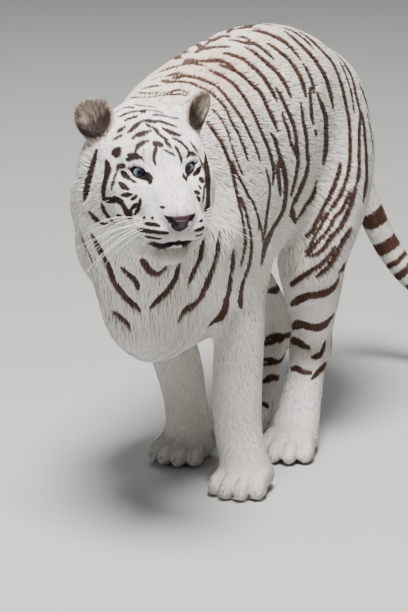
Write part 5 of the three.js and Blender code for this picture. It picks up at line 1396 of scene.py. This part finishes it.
def grow(V, T, N, grid, marks, body, total):
    """Roots spread over the skin, each with its hair's path, size and colours."""
    a, b, c = V[T[:, 0]], V[T[:, 1]], V[T[:, 2]]
    area = 0.5 * np.linalg.norm(np.cross(b - a, c - a), axis=1)
    mid = (a + b + c) / 3
    nm = unit(N[T].mean(1))
    d = body.near(mid)
    L, W, _ = body.style(mid, nm, d)
    tris = np.where(L >= 12.5, 5, 3)
    want = area / (0.55 * L * W) * np.where(bare(mid, nm), 0, 1)
    want *= total / (want * tris).sum()
    log("layers of hair %.2f" % (want * L * W * 0.55 / np.maximum(area, 1e-6))[want > 0].mean())
    cum = np.cumsum(want)
    n = int(cum[-1])
    pick = np.searchsorted(cum, (np.arange(n) + RNG.random(n)) * cum[-1] / n)
    pick = np.minimum(pick, len(T) - 1)
    r1, r2 = np.sqrt(RNG.random(n))[:, None], RNG.random(n)[:, None]
    w0, w1, w2 = 1 - r1, r1 * (1 - r2), r1 * r2
    t = T[pick]
    root = V[t[:, 0]] * w0 + V[t[:, 1]] * w1 + V[t[:, 2]] * w2
    nrm = unit(N[t[:, 0]] * w0 + N[t[:, 1]] * w1 + N[t[:, 2]] * w2)
    ok = ~bare(root, nrm)
    root, nrm = root[ok], nrm[ok]
    n = len(root)
    d = body.near(root)
    L, W, rise = body.style(root, nrm, d)
    lie = body.lie(root, nrm, d, marks)
    side = np.cross(nrm, lie)
    turn = np.radians(RNG.normal(0, 7, n) + 16 * (noise(root, 38, 41) - 0.5))[:, None]
    lie = lie * np.cos(turn) + side * np.sin(turn)
    side = np.cross(nrm, lie)
    roll = np.radians(RNG.normal(0, 11, n))[:, None]
    across = side * np.cos(roll) + nrm * np.sin(roll)
    L = L * RNG.uniform(0.72, 1.25, n)
    W = W * RNG.uniform(0.75, 1.2, n)
    lift = rise * RNG.uniform(0.84, 1.03, n)
    base = read_grid(grid, root)
    stops = np.array([0.0, 0.25, 0.5, 0.75, 1.0])
    flat = [root]
    for s in stops[1:]:
        q = root + lie * (L * s)[:, None]
        for _ in range(2):
            q = q - nrm * np.clip(read_grid(grid, q) - base, -14, 14)[:, None]
        flat.append(q)
    # a tuft has one colour and ends a little past the edge of its marking
    deep = coat_depth(root)[:, None]
    fuzz = RNG.normal(0, 0.4, n)
    coarse = [marks.edge(q + nrm * deep) for q in flat]
    e = np.stack([c[0] for c in coarse], 1)
    k_mark = np.stack([c[1] for c in coarse], 1).max(1)
    fine = np.linspace(0, 1, 13)
    E = np.full((n, 13), -12.0)
    for i, f in enumerate(fine):
        g = min(3, int(f * 4))
        E[:, i] = e[:, g] * (1 - (f * 4 - g)) + e[:, g + 1] * (f * 4 - g)
    close = np.nonzero(e.max(1) > -0.14 * L - 1.5)[0]
    for i in range(13):
        if i % 3:
            g = min(3, int(fine[i] * 4))
            w = fine[i] * 4 - g
            q = flat[g][close] * (1 - w) + flat[g + 1][close] * w
            v, k = marks.edge(q + nrm[close] * deep[close])
            E[close, i] = v
            k_mark[close] = np.maximum(k_mark[close], k)
    E += fuzz[:, None]
    near_root = np.minimum(np.round(np.clip(0.30 * L, 2.0, 7.0) / L * 12).astype(int), 12)
    dark = E[np.arange(n), near_root] > 0
    other = (E > 0) != dark[:, None]
    other &= np.arange(13)[None] > near_root[:, None]
    first = np.where(other.any(1), other.argmax(1), 12)
    ahead = np.abs(E[np.arange(n), np.maximum(first - 1, 0)])
    gap = ahead / np.maximum(ahead + np.abs(E[np.arange(n), first]), 1e-6)
    cross_at = (np.maximum(first - 1, 0) + gap) / 12 * L
    over = RNG.uniform(0.0, 0.9, n) + np.where(dark, 0.7, 0.0)
    reach = np.where(other.any(1), np.clip(cross_at + over, 3.0, L), L)
    base_dark = E[:, 0] > 0
    share = reach / L
    L = reach
    lift = lift * (0.72 + 0.28 * share)
    F = np.stack(flat, 1)

    def on_skin(s):
        u = np.clip(s * share * 4, 0, 3.999)
        i = u.astype(int)
        w = (u - i)[:, None]
        k = np.arange(n)
        return F[k, i] * (1 - w) + F[k, i + 1] * w

    path = [root - nrm * 0.5]
    flat = [root]
    loose = np.clip((L / share - 24) / 10, 0, 1) + 0.35 * (coat_depth(root) < 3)
    for s, sleek, shaggy in ((0.38, 0.80, 0.60), (0.72, 0.98, 0.90), (1.0, 0.78, 1.0)):
        q = on_skin(s)
        flat.append(q)
        path.append(q + nrm * (lift * (sleek + (shaggy - sleek) * np.clip(loose, 0, 1)))[:, None])
    for q in path:
        q[:, 2] = np.maximum(q[:, 2], 0.3)
    log("roots", n)
    strength = np.where(dark, k_mark, 0)
    return dict(root=root, n=nrm, lie=lie, across=across, L=L, W=W, path=path, flat=flat, uv=body.chart(root, d, marks), long=L >= 11.0, lift=lift, dark=strength, foot=np.where(base_dark, np.maximum(k_mark, 0), 0))


def tuft_mesh(H, sel, colour, extra=None):
    """One joined mesh of the tufts in sel: thin blades, tapered to a point."""
    out_v, out_t, out_c, out_uv, out_n = [], [], [], [], []
    base = 0
    patch = 0.0030
    for kind in (True, False):
        m = sel[H["long"][sel] == kind]
        if not len(m):
            continue
        P, A, W = [q[m] for q in H["path"]], H["across"][m], H["W"][m][:, None] / 2
        C = [q[m] for q in colour]
        if kind:
            rows = [(0, 0.8), (1, 1.0), (2, 0.66)]
        else:
            rows = [(0, 0.95), (2, 0.75)]
        v, c, st = [], [], []
        for i, wide in rows:
            v += [P[i] - A * W * wide, P[i] + A * W * wide]
            c += [C[i], C[i]]
            st += [(-0.5 * wide, i), (0.5 * wide, i)]
        v.append(P[3])
        c.append(C[3])
        st.append((0, 3))
        k = len(v)
        v, c = np.stack(v, 1), np.stack(c, 1)
        if kind:
            t = np.array([[0, 3, 1], [0, 2, 3], [2, 5, 3], [2, 4, 5], [4, 6, 5]])
        else:
            t = np.array([[0, 3, 1], [0, 2, 3], [2, 4, 3]])
        along = {0: 0.0, 1: 0.38, 2: 0.72, 3: 1.0}
        loc = np.array([[a * patch, (along[i] - 0.5) * patch] for a, i in st])
        uv = H["uv"][m][:, None, :] + loc[None]
        n = len(m)
        T = (t[None] + (np.arange(n) * k)[:, None, None]).reshape(-1, 3)
        out_uv.append(uv.reshape(-1, 2)[T.ravel()])
        nn = H["n"][m]
        g = unit(nn * 0.86 + H["lie"][m] * 0.05 + (H["across"][m] * RNG.normal(0, 0.16, n)[:, None]))
        out_n.append(np.repeat(g[:, None], k, 1).reshape(-1, 3))
        out_v.append(v.reshape(-1, 3))
        out_c.append(c.reshape(-1, 3))
        out_t.append(T + base)
        base += n * k
    return [np.concatenate(a) for a in (out_v, out_t, out_c, out_uv, out_n)]


def paint_tufts(H):
    """Colours down each tuft: its own marking all along, darker at the root as painted shade in the coat, a little
    paler to the tip.
    """
    n = len(H["root"])
    streaky = np.zeros(n)
    for sd, q, w in ear_places(H["root"]):
        streaky = np.maximum(streaky, w * step(0, 6, q[:, 1] + 4))
    jit = np.clip(RNG.normal(1, 0.055 + 0.14 * streaky, n), 0.45, 1.6)[:, None]
    q = H["flat"][1] + H["n"] * coat_depth(H["flat"][1])[:, None]
    c, ink, d = coat_parts(q, H["n"])
    own = np.clip(np.maximum(H["dark"] * (1 - d[:, 1]), d[:, 0]), 0, 1)
    own = np.where((own > 0.15) & (own < 0.9), step(-0.12, 0.12, own - RNG.uniform(0.12, 0.88, n)), own)[:, None]
    foot = np.clip(np.maximum(H["foot"] * (1 - d[:, 1]), d[:, 0]), 0, 1)[:, None]
    top = (c + (ink - c) * own) * jit
    low = (c + (ink - c) * foot) * jit
    # painted shade: the root end 10 % darker and the lower middle 3 % darker, the tip 1 % lighter
    return [np.clip(q, 0, 1) for q in (low * 0.90, top * 0.97, top, top * 1.01)]


# ------------------------------------------------------------------ materials
def coat_material(name, tuft):
    m, nt, b = material(name, 0.62)
    at = node(nt, "ShaderNodeAttribute", attribute_name="tint")
    tc = node(nt, "ShaderNodeTexCoord")
    fine = node(nt, "ShaderNodeTexNoise")
    fine.inputs["Scale"].default_value = 900 if tuft else 420
    fine.inputs["Detail"].default_value = 3
    nt.links.new(tc.outputs["Object"], fine.inputs["Vector"])
    ramp = node(nt, "ShaderNodeMapRange")
    ramp.inputs["To Min"].default_value = 0.86
    ramp.inputs["To Max"].default_value = 1.12
    nt.links.new(fine.outputs["Fac"], ramp.inputs["Value"])
    mul = node(nt, "ShaderNodeVectorMath", operation="SCALE")
    nt.links.new(at.outputs["Color"], mul.inputs[0])
    nt.links.new(ramp.outputs["Result"], mul.inputs["Scale"])
    nt.links.new(mul.outputs["Vector"], b.inputs["Base Color"])
    rr = node(nt, "ShaderNodeMapRange")
    rr.inputs["To Min"].default_value = 0.52
    rr.inputs["To Max"].default_value = 0.74
    nt.links.new(fine.outputs["Fac"], rr.inputs["Value"])
    nt.links.new(rr.outputs["Result"], b.inputs["Roughness"])
    b.inputs["Specular IOR Level"].default_value = 0.2
    b.inputs["Sheen Weight"].default_value = 0.03
    b.inputs["Sheen Roughness"].default_value = 0.5
    if not tuft:
        bump = node(nt, "ShaderNodeBump")
        bump.inputs["Strength"].default_value = 0.5
        bump.inputs["Distance"].default_value = 0.0015
        nt.links.new(fine.outputs["Fac"], bump.inputs["Height"])
        nt.links.new(bump.outputs["Normal"], b.inputs["Normal"])
    return m


def eye_material():
    m, nt, b = material("eye", 0.08)
    at = node(nt, "ShaderNodeAttribute", attribute_name="gaze")  # degrees from the pupil's middle / 90
    sep = node(nt, "ShaderNodeSeparateColor")
    nt.links.new(at.outputs["Color"], sep.inputs["Color"])
    streak = node(nt, "ShaderNodeTexNoise")
    streak.noise_dimensions = "2D"
    comb = node(nt, "ShaderNodeCombineXYZ")
    nt.links.new(sep.outputs["Green"], comb.inputs["X"])
    nt.links.new(sep.outputs["Red"], comb.inputs["Y"])
    mp = node(nt, "ShaderNodeMapping")
    mp.inputs["Scale"].default_value = (46, 5, 1)
    nt.links.new(comb.outputs["Vector"], mp.inputs["Vector"])
    nt.links.new(mp.outputs["Vector"], streak.inputs["Vector"])
    streak.inputs["Scale"].default_value = 1.0
    streak.inputs["Detail"].default_value = 4
    add = node(nt, "ShaderNodeMath", operation="MULTIPLY_ADD")
    add.inputs[1].default_value = 0.035
    nt.links.new(streak.outputs["Fac"], add.inputs[0])
    nt.links.new(sep.outputs["Red"], add.inputs[2])
    ramp = node(nt, "ShaderNodeValToRGB")
    e = ramp.color_ramp.elements
    e[0].position, e[0].color = 0.0, (0.004, 0.006, 0.012, 1)
    e[1].position, e[1].color = 1.0, (0.05, 0.04, 0.04, 1)
    for pos, col in ((0.135, (0.002, 0.003, 0.006)), (0.165, (0.065, 0.092, 0.120)), (0.24, (0.190, 0.255, 0.310)), (0.33, (0.350, 0.445, 0.500)), (0.385, (0.090, 0.120, 0.140)), (0.425, (0.006, 0.006, 0.008)), (0.52, (0.008, 0.007, 0.007)), (0.60, (0.02, 0.017, 0.017))):
        k = e.new(pos)
        k.color = (*col, 1)
    nt.links.new(add.outputs["Value"], ramp.inputs["Fac"])
    shade = node(nt, "ShaderNodeMapRange")  # the upper lid shades the top of the eye
    shade.inputs["From Min"].default_value = 0.47
    shade.inputs["From Max"].default_value = 0.72
    shade.inputs["To Min"].default_value = 1.0
    shade.inputs["To Max"].default_value = 0.10
    nt.links.new(sep.outputs["Blue"], shade.inputs["Value"])
    dim = node(nt, "ShaderNodeVectorMath", operation="SCALE")
    nt.links.new(ramp.outputs["Color"], dim.inputs[0])
    nt.links.new(shade.outputs["Result"], dim.inputs["Scale"])
    nt.links.new(dim.outputs["Vector"], b.inputs["Base Color"])
    b.inputs["Specular IOR Level"].default_value = 0.05
    b.inputs["Coat Weight"].default_value = 0.45
    b.inputs["Coat Roughness"].default_value = 0.03
    b.inputs["Coat IOR"].default_value = 1.45
    return m


def leather_material():
    m, nt, b = material("nose_leather", 0.42)
    at = node(nt, "ShaderNodeAttribute", attribute_name="tint")
    tc = node(nt, "ShaderNodeTexCoord")
    v = node(nt, "ShaderNodeTexVoronoi")
    v.inputs["Scale"].default_value = 620
    nt.links.new(tc.outputs["Object"], v.inputs["Vector"])
    r = node(nt, "ShaderNodeMapRange")
    r.inputs["To Min"].default_value = 1.08
    r.inputs["To Max"].default_value = 0.80
    nt.links.new(v.outputs["Distance"], r.inputs["Value"])
    mul = node(nt, "ShaderNodeVectorMath", operation="SCALE")
    nt.links.new(at.outputs["Color"], mul.inputs[0])
    nt.links.new(r.outputs["Result"], mul.inputs["Scale"])
    nt.links.new(mul.outputs["Vector"], b.inputs["Base Color"])
    bump = node(nt, "ShaderNodeBump")
    bump.inputs["Strength"].default_value = 0.55
    bump.inputs["Distance"].default_value = 0.0006
    bump.invert = True
    nt.links.new(v.outputs["Distance"], bump.inputs["Height"])
    nt.links.new(bump.outputs["Normal"], b.inputs["Normal"])
    b.inputs["Specular IOR Level"].default_value = 0.22
    b.inputs["Coat Weight"].default_value = 0.05
    b.inputs["Coat Roughness"].default_value = 0.3
    return m


def claw_material():
    m, nt, b = material("claw", 0.35)
    tc = node(nt, "ShaderNodeTexCoord")
    n = node(nt, "ShaderNodeTexNoise")
    n.inputs["Scale"].default_value = 160
    n.inputs["Detail"].default_value = 5
    nt.links.new(tc.outputs["Object"], n.inputs["Vector"])
    ramp = node(nt, "ShaderNodeValToRGB")
    e = ramp.color_ramp.elements
    e[0].position, e[0].color = 0.3, (0.16, 0.12, 0.095, 1)
    e[1].position, e[1].color = 0.72, (0.52, 0.46, 0.38, 1)
    nt.links.new(n.outputs["Fac"], ramp.inputs["Fac"])
    nt.links.new(ramp.outputs["Color"], b.inputs["Base Color"])
    b.inputs["Coat Weight"].default_value = 0.3
    return m


# ------------------------------------------------------------------ eyes, nose, whiskers
def eyeball(s):
    """Ball with a bulging clear front; each point knows its angle from the pupil."""
    g = unit(np.array([-0.035 * s, 0.99, 0.02]) @ HEADM)
    a = unit(np.cross([0, 0, 1.0], g))
    b = np.cross(g, a)
    rings, seg = 44, 64
    V, G = [EYES[s] + g * (EYE_R + 1.2)], [(0, 0, 0.5)]
    for i in range(1, rings):
        th = np.pi * (i / rings) ** 1.25
        r = EYE_R + 1.2 * math.exp(-((th / 0.55) ** 4))
        for j in range(seg):
            ph = 2 * np.pi * j / seg
            V.append(EYES[s] + r * (g * math.cos(th) + (a * math.cos(ph) + b * math.sin(ph)) * math.sin(th)))
            G.append((math.degrees(th) / 90, abs(j / seg * 2 - 1), 0.5 + 0.5 * math.sin(ph) * math.sin(th)))
    V.append(EYES[s] - g * EYE_R)
    G.append((2, 0, 0.5))
    T = []
    for j in range(seg):
        k = (j + 1) % seg
        T.append((0, 1 + j, 1 + k))
        for i in range(rings - 2):
            p, q, r, t = 1 + i * seg + j, 1 + i * seg + k, 1 + (i + 1) * seg + k, 1 + (i + 1) * seg + j
            T += [(p, t, r), (p, r, q)]
        T.append((len(V) - 1, 1 + (rings - 2) * seg + k, 1 + (rings - 2) * seg + j))
    ob = mesh_object("eyeball_" + ("left" if s > 0 else "right"), np.array(V), np.array(T))
    at = ob.data.color_attributes.new("gaze", "FLOAT_COLOR", "POINT")
    c = np.ones((len(V), 4), np.float32)
    c[:, :3] = np.array(G)
    at.data.foreach_set("color", c.ravel())
    return ob


def thick_patch(V, T, N, mask, out, into):
    """A closed piece cut from the skin: raised by out, with its back into by into."""
    keep = mask[T].all(1)
    t = T[keep]
    ids = np.unique(t)
    back = -np.ones(len(V), np.int64)
    back[ids] = np.arange(len(ids))
    t = back[t]
    E = np.concatenate([t[:, [0, 1]], t[:, [1, 2]], t[:, [2, 0]]])
    key = np.sort(E, 1)
    _, inv, cnt = np.unique(key, axis=0, return_inverse=True, return_counts=True)
    rim = E[cnt[inv] == 1]
    P, n = V[ids], N[ids]
    edge = np.zeros(len(ids), bool)
    edge[rim.ravel()] = True
    top = P + n * np.where(edge, 0.1, out[ids])[:, None]
    low = P - n * into
    k = len(ids)
    walls = np.concatenate([np.stack([rim[:, 1], rim[:, 0], rim[:, 0] + k], 1), np.stack([rim[:, 1], rim[:, 0] + k, rim[:, 1] + k], 1)])
    return np.concatenate([top, low]), np.concatenate([t, t[:, ::-1] + k, walls]), ids


def whiskers(surface):
    """Long pale whiskers in rows from the pads and two on each side of the face below the eye."""
    rng = np.random.default_rng(5)
    V, T = [], []

    def hair(start, direction, length, droop, r0):
        n, m = 12, 5
        d = unit(direction)
        base = len(V)
        p = np.array(start, float) - d * 2.0
        if d[1] < 0:  # none reaches far ahead of the nose
            length = min(length, max(25.0, (p[1] + 612) / -d[1]))
        for i in range(n + 1):
            t = i / n
            r = r0 * (1 - t) ** 0.8 + 0.08
            q = p + d * length * t + np.array([0, 0, -1.0]) * droop * t * t
            tan = unit(d * length + np.array([0, 0, -2.0]) * droop * t)
            a = unit(np.cross(tan, [0.1, 0.2, 1.0]))
            b = np.cross(tan, a)
            for j in range(m):
                w = 2 * np.pi * j / m
                V.append(q + r * (a * math.cos(w) + b * math.sin(w)))
        for i in range(n):
            for j in range(m):
                k = (j + 1) % m
                p0, p1, p2, p3 = base + i * m + j, base + i * m + k, base + (i + 1) * m + k, base + (i + 1) * m + j
                T.extend([(p0, p1, p2), (p0, p2, p3)])
        for j in range(1, m - 1):
            T.append((base, base + j + 1, base + j))
            e = base + n * m
            T.append((e, e + j, e + j + 1))

    for s in SIDES:
        for row, (u0, f0, f1, cnt) in enumerate(((-74, 76, 48, 3), (-82, 82, 42, 4), (-91, 84, 40, 5), (-100, 80, 44, 4))):
            for i in range(cnt):
                f = f0 + (f1 - f0) * i / (cnt - 1) + rng.uniform(-2.5, 2.5)
                u = u0 + rng.uniform(-1.5, 1.5) - 0.05 * (f0 - f)
                p = surface(np.array([hp(s * 75, f, u)]), -HEADM[0] * s)[0]
                back = (f0 - f) / (f0 - f1)
                fan = 0.16 - 0.17 * row + rng.uniform(-0.10, 0.10)
                dirv = np.array([s * 0.95, 0.02 - 0.55 * back + rng.uniform(-0.12, 0.10), fan]) @ HEADM
                hair(p, dirv, rng.uniform(95, 185) * (0.68 if s > 0 else 1.0) * (1.0 - 0.22 * abs(row - 1.5)), rng.uniform(14, 62), rng.uniform(0.42, 0.60))
        for i in range(2):
            p = surface(np.array([hp(s * 95, -2 - 16 * i, -52)]), -HEADM[0] * s)[0]
            hair(p, np.array([s * 0.8, -0.25, -0.3]) @ HEADM, rng.uniform(30, 46), 8, 0.28)
    return np.array(V), np.array(T)


# ------------------------------------------------------------------ build it
S = Skin()
full = build_form()
marks = Marks(full)
log("marks", len(marks.lines))
V, T, grid = make_skin(S)
N = normals(V, T)
tint, _ = coat_colour(V + N * coat_depth(V)[:, None], N, marks)
hh = head_axes(V)
pad = nose_pad(hh)
# painted shade: the bare skin carries the coat's colours at 0.86, for the shade down among the tufts
skin = mesh_object("skin", V, T, tint * 0.86)
skin.data.materials.append(coat_material("skin", False))
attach(skin, "root")
flesh = [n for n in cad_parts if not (n.startswith("eye") or n == "nose" or "claw" in n)]
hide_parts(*flesh)
log("skin painted")

body = Body(S.form)
H = grow(V, T, N, grid, marks, body, 1290000)
paint = paint_tufts(H)
log("tufts painted")
coat = coat_material("coat", True)
PIECES = 7
order = RNG.permutation(len(H["root"]))
for i in range(PIECES):
    v, t, c, uv, nn = tuft_mesh(H, order[i::PIECES], paint)
    ob = mesh_object("coat_%d" % (i + 1), v, t, c, uv, normal=nn)
    ob.data.materials.append(coat)
    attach(ob, "root")
    log(ob.name, len(t))

for s in SIDES:
    ob = eyeball(s)
    ob.data.materials.append(bpy.data.materials.get("eye") or eye_material())
    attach(ob, "root")
    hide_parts("eye_left" if s > 0 else "eye_right")

swell = 0.3 + 1.1 * step(0, 4, pad)
pv, pt, ids = thick_patch(V, T, N, pad > 0, swell, 1.2)
ph = hh[ids]
pal = np.abs(ph[:, 0])
foot = (ph[:, 2] - pad_foot(pal)) * 0.75 + 2.0 * (noise(V[ids], 6, 33) - 0.5)
dark = np.maximum(step(8.5, 6.0, foot) * step(5.5, 9.0, pal), step(19.0, 15.0, foot) * step(10.0, 14.0, pal))
for s in SIDES:
    dark = np.maximum(dark, step(1.5, 1.0, np.linalg.norm((ph - [s * 15.5, 118, -71]) / [9.5, 30, 6.4], axis=1)))
    dark = np.maximum(dark, step(1.5, 1.0, np.linalg.norm((ph - [s * 24, 112, -64.0]) / [6.5, 30, 5.2], axis=1)))
pc = np.repeat(srgb(74, 51, 58)[None], len(ids), 0) * (0.85 + 0.3 * noise(V[ids], 5, 31))[:, None]
pc = blend(pc, srgb(66, 45, 51), step(-72, -84, ph[:, 2]))
pc = blend(pc, srgb(9, 6, 7), dark)
ob = mesh_object("nose_pad", pv, pt, np.concatenate([pc, pc]))
ob.data.materials.append(leather_material())
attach(ob, "root")
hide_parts("nose")


def to_surface(p, way):
    for _ in range(60):
        d = full(p)
        if (d < 0.3).all():
            break
        p = p + way * np.maximum(d * 0.7, 0.3)[:, None]
    return p


wv, wt = whiskers(to_surface)
ob = mesh_object("whiskers", wv, wt, np.repeat(srgb(240, 236, 228)[None], len(wv), 0))
ob.data.materials.append(coat_material("whisker", True))
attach(ob, "root")

claw = claw_material()
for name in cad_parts:
    if "claw" in name:
        o = bpy.data.objects[name]
        for i in range(max(1, len(o.material_slots))):
            if len(o.material_slots) <= i:
                o.data.materials.append(claw)
            else:
                o.material_slots[i].material = claw

studio()
bpy.context.view_layer.update()
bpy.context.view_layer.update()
log("done")
